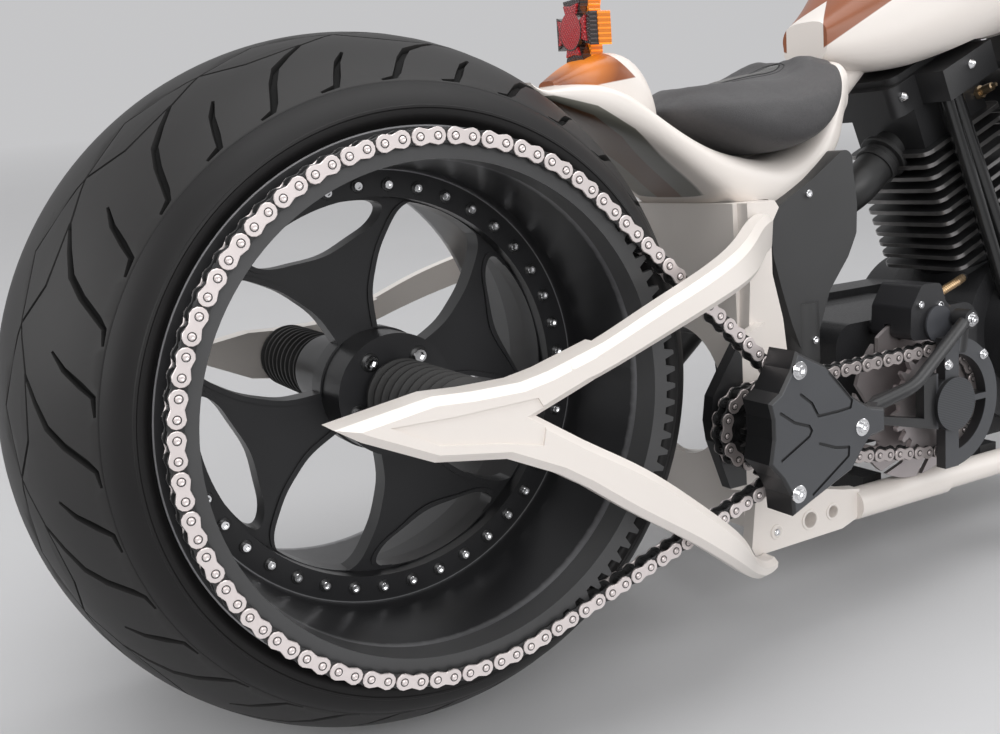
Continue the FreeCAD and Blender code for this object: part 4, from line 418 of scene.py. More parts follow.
def bright_fins(way):
    """Black cylinder with the fins' machined edges left bright."""
    made = Finish("finned_black", (0.016, 0.016, 0.017), 0.42, coat_weight=0.2, coat_roughness=0.25)
    x, y, z = made.parts(made.place(CRANK, way * TILT))
    half_length, half_width, first_fin, last_fin = 61, 51, 128, 300
    corner = made.radius((x.size() - half_length).math("MAXIMUM", 0),
                         (y.size() - half_width).math("MAXIMUM", 0))
    rim = corner.ramp(12.6, 13.4) * z.ramp(first_fin, first_fin + 2) * z.ramp(last_fin, last_fin - 2)
    cloud = made.noise(16.0)
    made.put("Base Color", made.mix(rim * (0.45 + cloud * 0.5), (0.014, 0.014, 0.015), (0.30, 0.29, 0.285)))
    made.put("Metallic", rim * 0.8)
    made.put("Roughness", 0.5 - rim * 0.22)
    return made.bump(made.noise(2.2, 3.0), 0.35, 0.4)


def caliper_black():
    """Black caliper with a turned cap and a gold braided hose."""
    made = Finish("caliper_black", (0.02, 0.02, 0.022), 0.4, coat_weight=0.2, coat_roughness=0.25)
    x, y, z = made.parts(made.place())
    hose_start, hose_end, hose_low, cap_face = 661, 735, 336, -158.5
    hose = x.ramp(hose_start, hose_start + 3) * z.ramp(hose_low, hose_low + 4)
    far = x.ramp(hose_end, hose_end - 3)
    braid = made.wave(x + y * 0.9, 3.4) * made.wave(x * 0.9 - y + z, 3.4)
    gold = made.mix(braid, (0.30, 0.17, 0.07), (0.85, 0.66, 0.40))
    cap = y.ramp(cap_face, cap_face - 1)
    black = made.mix(cap, (0.016, 0.016, 0.018), (0.06, 0.062, 0.07))
    made.put("Base Color", made.mix(hose * far, black, gold))
    made.put("Metallic", hose * 0.9)
    made.put("Roughness", 0.42 - hose * 0.1)
    return made.bump(made.noise(1.5) + braid * hose * 1.5, 0.3, 0.4)


def chain_silver(name, colour):
    """Smooth pale plated steel with a faint cloud."""
    made = Finish(name, colour, 0.34, metallic=0.62)
    cloud = made.noise(40.0, 2.0)
    made.put("Base Color", made.mix(cloud, shade(colour, 0.94), colour))
    made.put("Roughness", 0.30 + cloud * 0.1)
    return made.bump(made.noise(1.2, 2.0), 0.02, 0.2)


def tyre_rubber():
    """Tyre rubber: painted shade in the grooves, faint mould rings and dust on the walls."""
    made = Finish("tyre_rubber", (0.024, 0.023, 0.023), 0.5, specular_ior_level=0.22)
    groove = made.attribute("groove")
    wall = made.attribute("wall")
    dust = made.noise(60.0, 4.0)
    base = made.mix(dust, (0.018, 0.0175, 0.0175), (0.028, 0.027, 0.027))
    base = made.mix(wall * 0.8, base, (0.008, 0.0075, 0.0078))
    # Painted shade: the grooves are painted near black.
    made.put("Base Color", made.mix(groove, base, (0.004, 0.004, 0.004)))
    made.put("Roughness", 0.44 + dust * 0.14 + groove * 0.3)
    return made.bump(made.noise(1.1, 2.0), 0.14, 0.3)


def leather():
    """Dark grey grained leather."""
    tone = tuple(looks().leather)
    made = Finish("dark_leather", tone, 0.5, specular_ior_level=0.5, sheen_weight=0.06)
    grain = made.cell_edges(1.7).ramp(0.0, 0.25)
    fold = made.noise(14.0, 3.0)
    cloud = made.noise(70.0)
    made.put("Base Color", made.mix(grain * 0.6 + cloud * 0.4, shade(tone, 0.72), shade(tone, 1.2)))
    made.put("Roughness", 0.56 - grain * 0.10 + cloud * 0.06)
    return made.bump(grain + fold * 0.6, 0.35, 0.55)


def panel_thread():
    """Close rows of stitching on the saddle's inset."""
    made = Finish("panel_thread", (0.10, 0.10, 0.10), 0.6, sheen_weight=0.2)
    x, y, z = made.parts(made.place())
    rows = made.wave(x * 0.8 + z * 0.6 + y * 0.2, 1.6)
    made.put("Base Color", made.mix(rows, (0.035, 0.036, 0.036), (0.16, 0.165, 0.16)))
    return made.bump(rows, 0.5, 0.6)


def coloured_lens(name, colour, glow):
    """Ribbed coloured lens, lit a little from inside."""
    made = Finish(name, colour, 0.16, coat_weight=0.6, coat_roughness=0.05, specular_ior_level=0.6)
    _, y, z = made.parts(made.place())
    facet = made.wave(y + z, 5.2) * made.wave(y - z, 5.2)
    made.put("Base Color", made.mix(facet, shade(colour, 0.45), colour))
    made.put("Emission Color", made.mix(facet, shade(colour, 0.3), colour))
    made.put("Emission Strength", glow)
    return made.bump(facet, 1.2, 0.7)


def lamp_housing():
    """Smoked housing of the tail light: red in its middle, amber towards the front, dark below."""
    made = Finish("lamp_housing", (0.03, 0.02, 0.02), 0.14, coat_weight=0.6, coat_roughness=0.06)
    x, y, z = made.parts(made.place())
    amber_start, red_end = 284, 271.4
    above = z - TAIL_LAMP_Z
    amber = x.ramp(amber_start, amber_start + 0.6) * above.size().ramp(31.0, 30.6) * y.size().ramp(9, 10)
    red = x.ramp(red_end, red_end - 0.4) * made.radius(y, above).ramp(19.6, 18.6)
    facet = made.wave(y + z, 4.4) * made.wave(y - z, 4.4)
    lit = made.mix(facet, (0.95, 0.22, 0.01), (1.0, 0.36, 0.03))
    deep = made.mix(facet, (0.07, 0.002, 0.004), (0.42, 0.012, 0.016))
    smoke = made.mix(facet, (0.018, 0.014, 0.013), (0.05, 0.03, 0.028))
    made.put("Base Color", made.mix(red, made.mix(amber, smoke, lit), deep))
    glow = made.mix(amber, (0, 0, 0), lit)
    made.put("Emission Color", made.mix(red, glow, shade((0.5, 0.01, 0.015), 0.5)))
    made.put("Emission Strength", 0.75)
    return made.bump(facet, 1.0, 0.6)


def clear_lens():
    """Fluted clear lamp lens over a bright bowl."""
    made = Finish("lamp_lens", (0.75, 0.77, 0.8), 0.08, coat_weight=0.8, coat_roughness=0.03, metallic=0.35)
    _, y, _ = made.parts(made.place())
    flute = made.wave(y, 9.0)
    made.put("Base Color", made.mix(flute, (0.5, 0.52, 0.55), (0.86, 0.88, 0.9)))
    return made.bump(flute, 1.4, 0.8)


def white():
    """The plain white paint, made once."""
    return finish(warm_white)


def black(name, tone, rough, grain=0.1):
    """A satin or gloss black of that name, made once."""
    return finish(satin_black, name, tone, rough, grain)


def node_finishes():
    """Which finish each piece of the frame takes."""
    rear_lines = ((183.2, 0.5), (205.5, 0.7), (215.5, 0.8), (242.6, 0.7))
    front_lines = ((249.2, 0.6), (262.0, 0.6), (276.6, 0.5))
    satin = black("satin_black", 0.018, 0.38)
    matte = black("matte_grey", 0.032, 0.52)
    gloss = black("gloss_black", 0.012, 0.16, 0.03)
    sprocket = black("sprocket_grey", 0.05, 0.40)
    steel = finish(metal, "satin_steel", (0.56, 0.55, 0.54), 0.3)
    chrome = finish(metal, "chrome", (0.82, 0.82, 0.83), 0.09, 0.05)
    soft = finish(rubber, "ribbed_rubber", 0.035)
    wrinkle = finish(wrinkle_black)
    return {
        "rear_rim": finish(rim_black, tuple(REAR_AXLE), rear_lines),
        "rear_wheel_centre": finish(rim_black, tuple(REAR_AXLE), ((208.4, 0.4),)),
        "front_rim": finish(rim_black, tuple(FRONT_AXLE), front_lines),
        "front_wheel_centre": finish(rim_black, tuple(FRONT_AXLE), ((249.0, 0.4),)),
        "sprocket_ring": sprocket, "jackshaft": black("oiled_black", 0.012, 0.28),
        "rear_axle": steel, "front_axle": chrome,
        "bellows_right": soft, "bellows_left": soft,
        "swingarm_right": white(), "swingarm_left": white(), "frame_side_right": finish(framed_white),
        "frame_side_left": white(), "frame_spine": white(),
        "tail_cowl": finish(inlaid_white), "fuel_tank": finish(inlaid_white),
        "drive_cover": finish(cover_grey), "rotor_caliper": finish(caliper_black),
        "output_rotor": finish(turned_steel, tuple(OUTPUT), 0.46, 0.38),
        "front_disc": finish(turned_steel, tuple(FRONT_AXLE), 0.50, 0.34),
        "oil_tank": matte, "tail_light": finish(lamp_housing), "air_cleaner": wrinkle, "crankcase": wrinkle,
        "gearbox": wrinkle, "primary_cover": wrinkle, "rear_cylinder": finish(bright_fins, -1),
        "front_cylinder": finish(bright_fins, 1), "pushrod_tubes": gloss,
        "exhaust_pipes": black("pipe_black", 0.020, 0.5, 0.2), "foot_controls_right": satin,
        "foot_controls_left": satin, "handlebar": satin, "fork_clamps": satin, "fork_leg_right": gloss,
        "fork_leg_left": gloss, "headlight": gloss, "front_caliper": satin, "side_stand": satin,
        "inner_chain": black("oiled_chain", 0.02, 0.3), "drive_chain": black("oiled_chain", 0.02, 0.3),
        "seat_pad": finish(leather), "rear_tyre": finish(tyre_rubber), "front_tyre": finish(tyre_rubber),
    }


def coat(piece, material):
    """Puts one material on every slot of a piece."""
    if not piece.material_slots:
        piece.data.materials.append(material)
    for slot in piece.material_slots:
        slot.material = material


# Camera, floor and lamps


def set_camera():
    """The photograph's view: behind and to the right, level with the saddle, a little tilted."""
    data = bpy.data.cameras.new("studio_camera")
    camera = bpy.data.objects.new("studio_camera", data)
    bpy.context.collection.objects.link(camera)
    right = TURN @ Vector((0.871, -0.4853, -0.0768))
    up = TURN @ Vector((0.1581, 0.1286, 0.979))
    back = right.cross(up).normalized()
    up = back.cross(right).normalized()
    camera.matrix_world = Matrix.Translation(at(-409.8, -1050.3, 556.1)) @ Matrix(
        (right.normalized(), up, back)).transposed().to_4x4()
    data.lens = looks().lens
    data.sensor_width = 36
    data.clip_start = 0.02
    bpy.context.scene.camera = camera


def set_floor():
    """A pale seamless floor that fades into the backdrop for the camera."""
    made = Finish("studio_floor", (0.55, 0.55, 0.56), 0.75)
    grain = made.noise(400.0, 3.0)
    made.put("Base Color", made.mix(grain, (0.53, 0.53, 0.54), (0.57, 0.57, 0.58)))
    x, y, _ = made.parts(made.row())
    fade_start, fade_end = 1.9, 4.6
    far = made.radius(x, y).ramp(fade_start, fade_end)
    camera = made.node("ShaderNodeLightPath", {}, {}, "Is Camera Ray")
    seen = made.node("ShaderNodeEmission", {}, {"Color": (*looks().backdrop, 1)})
    plain = Value(made, made.shader.outputs[0])
    both = made.node("ShaderNodeMixShader", {}, {0: far * camera, 1: plain, 2: seen})
    made.tree.links.new(both.socket, made.tree.nodes["Material Output"].inputs["Surface"])
    mesh = bpy.data.meshes.new("studio_floor")
    reach, clearance = 14.0, 0.0006
    level = CAD_BOX[0][2] - clearance
    corners = [(-reach, -reach, level), (reach, -reach, level), (reach, reach, level),
               (-reach, reach, level)]
    mesh.from_pydata(corners, [], [(0, 1, 2, 3)])
    floor = bpy.data.objects.new("studio_floor", mesh)
    bpy.context.collection.objects.link(floor)
    mesh.materials.append(made.material)


def set_world():
    """A grey studio seen by the camera and by reflections, and a soft pale light from all round."""
    world = bpy.data.worlds.new("studio")
    world.use_nodes = True
    bpy.context.scene.world = world
    tree = world.node_tree
    output = tree.nodes["World Output"]
    light = tree.nodes["Background"]
    light.inputs["Color"].default_value = (1, 1, 1, 1)
    light.inputs["Strength"].default_value = 0.36
    seen = tree.nodes.new("ShaderNodeBackground")
    seen.inputs["Color"].default_value = (*looks().backdrop, 1)
    path = tree.nodes.new("ShaderNodeLightPath")
    either = path.outputs["Is Camera Ray"]
    for name in ("Is Glossy Ray", "Is Transmission Ray"):
        join = tree.nodes.new("ShaderNodeMath")
        join.operation = "MAXIMUM"
        tree.links.new(either, join.inputs[0])
        tree.links.new(path.outputs[name], join.inputs[1])
        either = join.outputs[0]
    mix = tree.nodes.new("ShaderNodeMixShader")
    tree.links.new(either, mix.inputs[0])
    tree.links.new(light.outputs[0], mix.inputs[1])
    tree.links.new(seen.outputs[0], mix.inputs[2])
    tree.links.new(mix.outputs[0], output.inputs["Surface"])


def set_lamp(name, place, target, size, power):
    """A rectangular lamp at a place of the bike's axes, turned to a target."""
    data = bpy.data.lights.new(name, "AREA")
    data.shape = "RECTANGLE"
    data.size, data.size_y = size
    data.energy = power
    lamp = bpy.data.objects.new(name, data)
    bpy.context.collection.objects.link(lamp)
    start, end = at(*place), at(*target)
    aim = (end - start).to_track_quat("-Z", "Y")
    lamp.matrix_world = Matrix.Translation(start) @ aim.to_matrix().to_4x4()


def set_stage():
    """Camera, floor, world and four soft lamps."""
    set_camera()
    set_floor()
    set_world()
    power = looks().light
    set_lamp("top_softbox", (500, -500, 3300), (500, 0, 300), (4.0, 2.6), power)
    set_lamp("side_softbox", (-600, -3300, 1700), (500, 0, 400), (3.0, 2.2), power * 0.85)
    set_lamp("rear_softbox", (-3200, 900, 1500), (0, 0, 350), (2.6, 2.0), power * 0.5)
    set_lamp("front_softbox", (3600, -1800, 1600), (900, 0, 500), (2.4, 1.8), power * 0.4)
    bpy.context.scene.view_settings.view_transform = "Standard"


# Shapes


class Build:
    """Gathers the solids of one piece in the bike's millimetres. A mark is the place of its material."""

    def __init__(self):
        self.mesh = bmesh.new()

    def add(self, points, faces, mark=0):
        """Adds one solid from its points and faces."""
        made = [self.mesh.verts.new(point) for point in points]
        for face in faces:
            self.mesh.faces.new([made[k] for k in face]).material_index = mark
        return made

    def turned(self, centre, axis, profile, count=20, mark=0, six=()):
        """A turned solid from (height, reach) pairs. It closes at a reach of 0, or else back to its start."""
        axis = Vector(axis).normalized()
        first = Vector((1, 0, 0)) - axis * axis.x
        first = first.normalized() if first.length > 0.1 else Vector((0, 0, 1))
        second = axis.cross(first)
        points, rings = [], []
        for k, (height, reach) in enumerate(profile):
            ring = []
            for j in range(count if reach else 1):
                angle = 2 * math.pi * j / count
                far = reach
                if k in six:
                    far = reach * math.cos(math.pi / 6) / math.cos(angle % (math.pi / 3) - math.pi / 6)
                ring.append(len(points))
                points.append(Vector(centre) + axis * height
                              + (first * math.cos(angle) + second * math.sin(angle)) * far)
            rings.append(ring)
        pairs = list(zip(rings, rings[1:]))
        if profile[0][1]:
            pairs.append((rings[-1], rings[0]))
        faces = []
        for low, high in pairs:
            for j in range(count):
                corners = (low[j % len(low)], low[(j + 1) % len(low)], high[(j + 1) % len(high)],
                           high[j % len(high)])
                faces.append(tuple(dict.fromkeys(corners)))
        return self.add(points, faces, mark)

    def screw(self, centre, axis, reach, rise):
        """A socket screw's head with a hexagonal recess."""
        soft = reach * 0.12
        profile = ((0, 0), (0, reach), (rise - soft, reach), (rise, reach - soft), (rise, reach * 0.58),
                   (rise * 0.35, reach * 0.55), (rise * 0.35, 0))
        return self.turned(centre, axis, profile, 12, six=(4, 5))

    def nut(self, centre, axis, reach, rise, dome=True):
        """A hexagonal nut, domed or with its thread showing."""
        top = ((rise, reach * 0.86), (rise * 1.35, reach * 0.72), (rise * 1.8, reach * 0.42),
               (rise * 1.95, 0))
        if not dome:
            top = ((rise, reach * 0.9), (rise, reach * 0.5), (rise * 1.3, reach * 0.46), (rise * 1.3, 0))
        return self.turned(centre, axis, ((0, 0), (0, reach), (rise * 0.85, reach)) + top, 12, six=(1, 2))

    def plate(self, outline, low, high, bevel=0.4):
        """A plate across the bike from (x, z) corners, its rims bevelled."""
        middle = sum((Vector(corner) for corner in outline), Vector((0, 0))) / len(outline)
        rings = []
        points = []
        for y, inset in ((low, bevel), (low + bevel, 0), (high - bevel, 0), (high, bevel)):
            ring = []
            for corner in outline:
                away = Vector(corner) - middle
                away -= away.normalized() * inset
                ring.append(len(points))
                points.append((middle.x + away.x, y, middle.y + away.y))
            rings.append(ring)
        count = len(outline)
        faces = [tuple(rings[0]), tuple(reversed(rings[-1]))]
        for lower, upper in zip(rings, rings[1:]):
            for j in range(count):
                faces.append((lower[j], lower[(j + 1) % count], upper[(j + 1) % count], upper[j]))
        return self.add(points, faces)

    def tube(self, path, reach, count=10):
        """A round bar along points; reach is one radius, or one for each point."""
        path = [Vector(point) for point in path]
        reaches = reach if isinstance(reach, (list, tuple)) else [reach] * len(path)
        way = (path[1] - path[0]).normalized()
        side = way.orthogonal().normalized()
        points = []
        for k, point in enumerate(path):
            ahead = (path[min(k + 1, len(path) - 1)] - path[max(k - 1, 0)]).normalized()
            side = (side - ahead * side.dot(ahead)).normalized()
            other = ahead.cross(side)
            for j in range(count):
                angle = 2 * math.pi * j / count
                points.append(point + (side * math.cos(angle) + other * math.sin(angle)) * reaches[k])
        faces = [tuple(range(count)), tuple(range(len(points) - 1, len(points) - 1 - count, -1))]
        for k in range(len(path) - 1):
            for j in range(count):
                a, b = k * count + j, k * count + (j + 1) % count
                faces.append((a, b, b + count, a + count))
        return self.add(points, faces)

    def made(self, name):
        """The mesh of everything gathered, its normals pointing outwards."""
        bmesh.ops.recalc_face_normals(self.mesh, faces=self.mesh.faces)
        mesh = bpy.data.meshes.new(name)
        self.mesh.to_mesh(mesh)
        self.mesh.free()
        return mesh


def ready(source, name, body, materials, stands_for=(), sharp=32):
    """Finishes a piece: its place goes into its mesh, its edges are marked, and it rides on its body."""
    mesh = source.made(name) if isinstance(source, Build) else source
    mesh.name = name
    mesh.transform(BIKE)
    mesh.shade_smooth()
    mesh.set_sharp_from_angle(angle=math.radians(sharp))
    if materials:
        mesh.materials.clear()
        for material in materials:
            mesh.materials.append(material)
    piece = bpy.data.objects.new(name, mesh)
    bpy.context.collection.objects.link(piece)
    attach(piece, body)
    if stands_for:
        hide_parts(*stands_for)
    return piece


class Recipe:
    """A Geometry Nodes tree with named inputs. It ends in Realize Instances and Set Material."""

    def __init__(self, name, **kinds):
        self.tree = bpy.data.node_groups.new(name, "GeometryNodeTree")
        for way in ("INPUT", "OUTPUT"):
            self.tree.interface.new_socket("Geometry", in_out=way, socket_type="NodeSocketGeometry")
        kinds.update(Shape="Object", Material="Material")
        self.names = {key: self.tree.interface.new_socket(
            key, in_out="INPUT", socket_type="NodeSocket" + kind).identifier for key, kind in kinds.items()}
        self.given = self.tree.nodes.new("NodeGroupInput").outputs

    def node(self, kind, inputs, output=0, **settings):
        node = self.tree.nodes.new(kind)
        for key, value in settings.items():
            setattr(node, key, value)
        for key, value in inputs.items():
            if isinstance(value, bpy.types.NodeSocket):
                self.tree.links.new(value, node.inputs[key])
            else:
                node.inputs[key].default_value = value
        return node.outputs[output]

    def copies(self, points, way, pivot):
        """The shape on each point, with its X along the way."""
        shape = self.node("GeometryNodeObjectInfo", {"Object": self.given["Shape"]}, "Geometry")
        turn = self.node("FunctionNodeAlignRotationToVector", {"Vector": way}, axis="X", pivot_axis=pivot)
        return self.node("GeometryNodeInstanceOnPoints",
                         {"Points": points, "Instance": shape, "Rotation": turn})

    def close(self, geometry):
        """Ends the tree in real geometry with its material."""
        solid = self.node("GeometryNodeRealizeInstances", {0: geometry})
        dressed = self.node("GeometryNodeSetMaterial",
                            {"Geometry": solid, "Material": self.given["Material"]})
        self.tree.links.new(dressed, self.tree.nodes.new("NodeGroupOutput").inputs[0])
        return self

    def run(self, points, shape, material, **values):
        """The plain mesh that the tree makes of a line of points."""
        line = bpy.data.meshes.new("line")
        edges = [(k, k + 1) for k in range(len(points) - 1)]
        if values.pop("closed", False):
            edges.append((len(points) - 1, 0))
        line.from_pydata(points, edges, [])
        things = []
        for name, mesh in (("line", line), ("shape", shape.made("shape"))):
            things.append(bpy.data.objects.new(name, mesh))
            bpy.context.collection.objects.link(things[-1])
        modifier = things[0].modifiers.new("recipe", "NODES")
        modifier.node_group = self.tree
        for key, value in dict(values, Shape=things[1], Material=material).items():
            modifier[self.names[key]] = value
        graph = bpy.context.evaluated_depsgraph_get()
        made = bpy.data.meshes.new_from_object(things[0].evaluated_get(graph))
        things[0].modifiers.remove(modifier)
        for thing in things:
            bpy.data.objects.remove(thing)
        return made


def ring_recipe():
    """Copies round an axis across the bike, their X pointing outwards."""
    recipe = Recipe("ring", Count="Int", Radius="Float", Start="Vector", Centre="Vector")
    given = recipe.given
    circle = recipe.node("GeometryNodeMeshCircle", {"Vertices": given["Count"], "Radius": given["Radius"]})
    upright = recipe.node("GeometryNodeTransform", {"Geometry": circle, "Rotation": (math.pi / 2, 0, 0)})
    spread = recipe.copies(upright, recipe.node("GeometryNodeInputPosition", {}), "Y")
    turned = recipe.node("GeometryNodeTransform", {"Geometry": spread, "Rotation": given["Start"],
                                                   "Translation": given["Centre"]})
    return recipe.close(turned)


def links_recipe(pivot):
    """Copies on every other stretch of a line, their X along it."""
    recipe = Recipe("links", Count="Int", First="Int")
    given = recipe.given
    line = recipe.node("GeometryNodeMeshToCurve", {"Mesh": given["Geometry"]})
    even = recipe.node("GeometryNodeResampleCurve", {"Curve": line, "Count": given["Count"]}, mode="COUNT")
    steps = recipe.node("GeometryNodeCurveToMesh", {"Curve": even})
    ends = recipe.node("GeometryNodeInputMeshEdgeVertices", {}, "Position 1").node.outputs
    way = recipe.node("ShaderNodeVectorMath", {0: ends["Position 2"], 1: ends["Position 1"]},
                      operation="SUBTRACT")
    marked = recipe.node("GeometryNodeStoreNamedAttribute",
                         {"Geometry": steps, "Name": "way", "Value": way},
                         data_type="FLOAT_VECTOR", domain="EDGE")
    place = recipe.node("ShaderNodeMath", {0: recipe.node("GeometryNodeInputIndex", {}), 1: given["First"]},
                        operation="ADD")
    odd = recipe.node("ShaderNodeMath", {0: place, 1: 2.0}, operation="MODULO")
    chosen = recipe.node("ShaderNodeMath", {0: odd, 1: 0.5}, operation="LESS_THAN")
    middles = recipe.node("GeometryNodeMeshToPoints", {"Mesh": marked, "Selection": chosen}, mode="EDGES")
    kept = recipe.node("GeometryNodeInputNamedAttribute", {"Name": "way"}, data_type="FLOAT_VECTOR")
    return recipe.close(recipe.copies(middles, kept, pivot))


def round_line(centre_a, reach_a, centre_b, reach_b, start, steps=360):
    """A belt round two circles of the X and Z plane, from the given angle of the first, as (x, z) points."""
    a, b = Vector(centre_a), Vector(centre_b)
    base = math.atan2(b.y - a.y, b.x - a.x)
    half = math.acos((reach_a - reach_b) / (b - a).length)
    line = []
    for k in range(steps):
        angle = start + 2 * math.pi * k / steps
        free = abs((angle - base + math.pi) % (2 * math.pi) - math.pi) < half
        centre, reach = (b, reach_b) if free else (a, reach_a)
        line.append((centre + Vector((math.cos(angle), math.sin(angle))) * reach, free))
    points = []
    for k, (point, free) in enumerate(line):
        before = line[k - 1][1]
        if free != before:
            turned = math.sin((start + 2 * math.pi * k / steps - base - half) / 2)
            edge = base + (half if abs(turned) < 0.1 else -half)
            way = Vector((math.cos(edge), math.sin(edge)))
            pair = [a + way * reach_a, b + way * reach_b]
            points += pair if free else pair[::-1]
        points.append(point)
    return points


# Tyres


def band_outline(line, halves, inset=0.0):
    """The outline of a groove along its middle line, with a half width for each point, its ends drawn in."""
    line = [Vector(point) for point in line]
    least_turn = 0.55
    left, right = [], []
    for k, point in enumerate(line):
        before = (point - line[k - 1]).normalized() if k else (line[1] - line[0]).normalized()
        after = (line[k + 1] - point).normalized() if k + 1 < len(line) else before
        way = (before + after).normalized()
        side = Vector((-way.y, way.x))
        reach = (halves[k] - inset) / max(least_turn, side.dot(Vector((-before.y, before.x))))
        if k == 0:
            point = point + after * inset
        if k + 1 == len(line):
            point = point - before * inset
        left.append(point + side * reach)
        right.append(point - side * reach)
    return right + left[::-1]


def near_line(point, line):
    """How near a point comes to a line of points."""
    best = 1e9
    for a, b in zip(line, line[1:]):
        a, b = Vector(a), Vector(b)
        share = max(0.0, min(1.0, (point - a).dot(b - a) / (b - a).length_squared))
        best = min(best, (point - a - (b - a) * share).length)
    return best


def in_order(elements, place):
    """Sorts the points or faces of a mesh by their place, so every run writes them in the same order."""
    ranks = {element: rank for rank, element in enumerate(sorted(elements, key=place))}
    elements.sort(key=ranks.get)


class Tread:
    """One pitch of a tyre's tread: its crown, its grooves and the leaning seam to the next pitch.

    base and crown are the middle and the radius of the crown's arc, edge and shoulder its ends, mean the
    radius on which angles become lengths, start the angle of the first seam, and depth that of a groove.
    """

    def __init__(self, base, crown, edge, shoulder, count, mean, grooves, seam, start, depth):
        self.base, self.crown, self.edge, self.shoulder = base, crown, edge, shoulder
        self.count, self.mean, self.start, self.depth = count, mean, math.radians(start), depth
        self.pitch = 2 * math.pi / count
        self.last = edge + (Vector(shoulder) - Vector(self.section(edge, 0))).length
        self.seam = seam
        self.grooves = []
        for line, halves in grooves:
            for mirror in (-1, 1):
                self.grooves.append(([(math.radians(a) * mean, mirror * w) for a, w in line], halves))

    def section(self, across, depth):
        """(reach, side) on the crown, or past its edge on the shoulder, at that depth below the surface."""
        size = min(abs(across), self.edge)
        rise = math.sqrt(self.crown ** 2 - size ** 2)
        reach, side = self.base + rise, size
        if abs(across) > self.edge:
            share = (abs(across) - self.edge) / (self.last - self.edge)
            reach += (self.shoulder[0] - reach) * share
            side += (self.shoulder[1] - side) * share
        slope = size / self.crown
        return (reach - depth * math.sqrt(1 - slope ** 2), math.copysign(side - depth * slope, across))

    def seam_at(self, across):
        """How far round the pitch begins, at that distance across."""
        size = abs(across)
        for (a, low), (b, high) in zip(self.seam, self.seam[1:]):
            if size <= high:
                return math.radians(a + (b - a) * max(0.0, (size - low) / (high - low))) * self.mean
        return math.radians(self.seam[-1][0]) * self.mean

    def pitch_faces(self, step_round, step_across):
        """Points (round, across, depth) and faces of one pitch, with sharp groove walls."""
        wide = self.pitch * self.mean
        rows = int(2 * self.last / step_across)
        marks = sorted({-self.last, self.last,
                        *(k * self.last * 2 / rows - self.last for k in range(1, rows)),
                        *(m * low for _, low in self.seam for m in (-1, 1) if low < self.last)})
        steps = int(wide / step_round)
        shares = [k / steps for k in range(1, steps)]
        bottom = [(self.seam_at(-self.last) + wide * s, -self.last) for s in shares]
        top = [(self.seam_at(self.last) + wide * s, self.last) for s in reversed(shares)]
        outline = [(self.seam_at(w), w) for w in reversed(marks)] + bottom
        outline += [(self.seam_at(w) + wide, w) for w in marks] + top
        points = [Vector(corner) for corner in outline]
        faces = [list(range(len(points)))]
        floors = set()
        wall_width, clearance = 0.9, 1.4
        for line, halves in self.grooves:
            for turn in (-1, 0, 1):
                moved = [(a + turn * wide, w) for a, w in line]
                for inset in (0.0, wall_width):
                    if inset:
                        floors.add(len(faces))
                    corners = band_outline(moved, halves, inset)
                    faces.append(list(range(len(points), len(points) + len(corners))))
                    points += corners
        for w in marks[1:-1]:
            for s in shares:
                spot = Vector((self.seam_at(w) + wide * s, w))
                if all(near_line(spot, [(a + t * wide, v) for a, v in line]) > max(halves) + clearance
                       for line, halves in self.grooves for t in (-1, 0, 1)):
                    points.append(spot)
        spots, _, cells, _, _, sources = delaunay_2d_cdt(points, [], faces, 1, 1e-4)
        kept = [(cell, source) for cell, source in zip(cells, sources) if 0 in source]
        low = {k for cell, source in kept if floors & set(source) for k in cell}
        deep = [(spot.x, spot.y, self.depth if k in low else 0.0) for k, spot in enumerate(spots)]
        return deep, [cell for cell, _ in kept]

    def build(self, centre, wall, step_round, step_across):
        """The whole tyre: the pitches round the wheel, then both walls down to the bead and across it."""
        points, faces = self.pitch_faces(step_round, step_across)
        mesh = bmesh.new()
        # The groove layer marks the sunk points of the grooves, where the tyre's material paints shade.
        groove = mesh.verts.layers.float.new("groove")
        side_mark = mesh.verts.layers.float.new("wall")
        for turn in range(self.count):
            made = []
            for along, across, depth in points:
                angle = along / self.mean + self.start + turn * self.pitch
                reach, side = self.section(across, depth)
                vert = mesh.verts.new((reach * math.cos(angle), side, reach * math.sin(angle)))
                vert[groove] = 1.0 if depth else 0.0
                made.append(vert)
            for face in faces:
                mesh.faces.new([made[k] for k in face])
        bmesh.ops.delete(mesh, geom=[v for v in mesh.verts if not v.link_faces], context="VERTS")
        bmesh.ops.remove_doubles(mesh, verts=mesh.verts, dist=0.03)
        rims = []
        for way in (-1, 1):
            rim = [e for e in mesh.edges if e.is_boundary and e.verts[0].co.y * way > 0]
            for reach, side in wall:
                grown = bmesh.ops.extrude_edge_only(mesh, edges=rim)["geom"]
                for vert in [g for g in grown if isinstance(g, bmesh.types.BMVert)]:
                    share = reach / math.hypot(vert.co.x, vert.co.z)
                    vert.co = (vert.co.x * share, way * side, vert.co.z * share)
                    vert[side_mark] = 1.0
                    vert[groove] = 0.0
                rim = [g for g in grown if isinstance(g, bmesh.types.BMEdge)]
            rims += rim
        bmesh.ops.bridge_loops(mesh, edges=rims)
        bmesh.ops.translate(mesh, verts=mesh.verts, vec=centre)
        in_order(mesh.verts, lambda vert: vert.co[:])
        in_order(mesh.faces, lambda face: face.calc_center_median()[:])
        whole = Build()
        whole.mesh.free()
        whole.mesh = mesh
        return whole


# Pieces


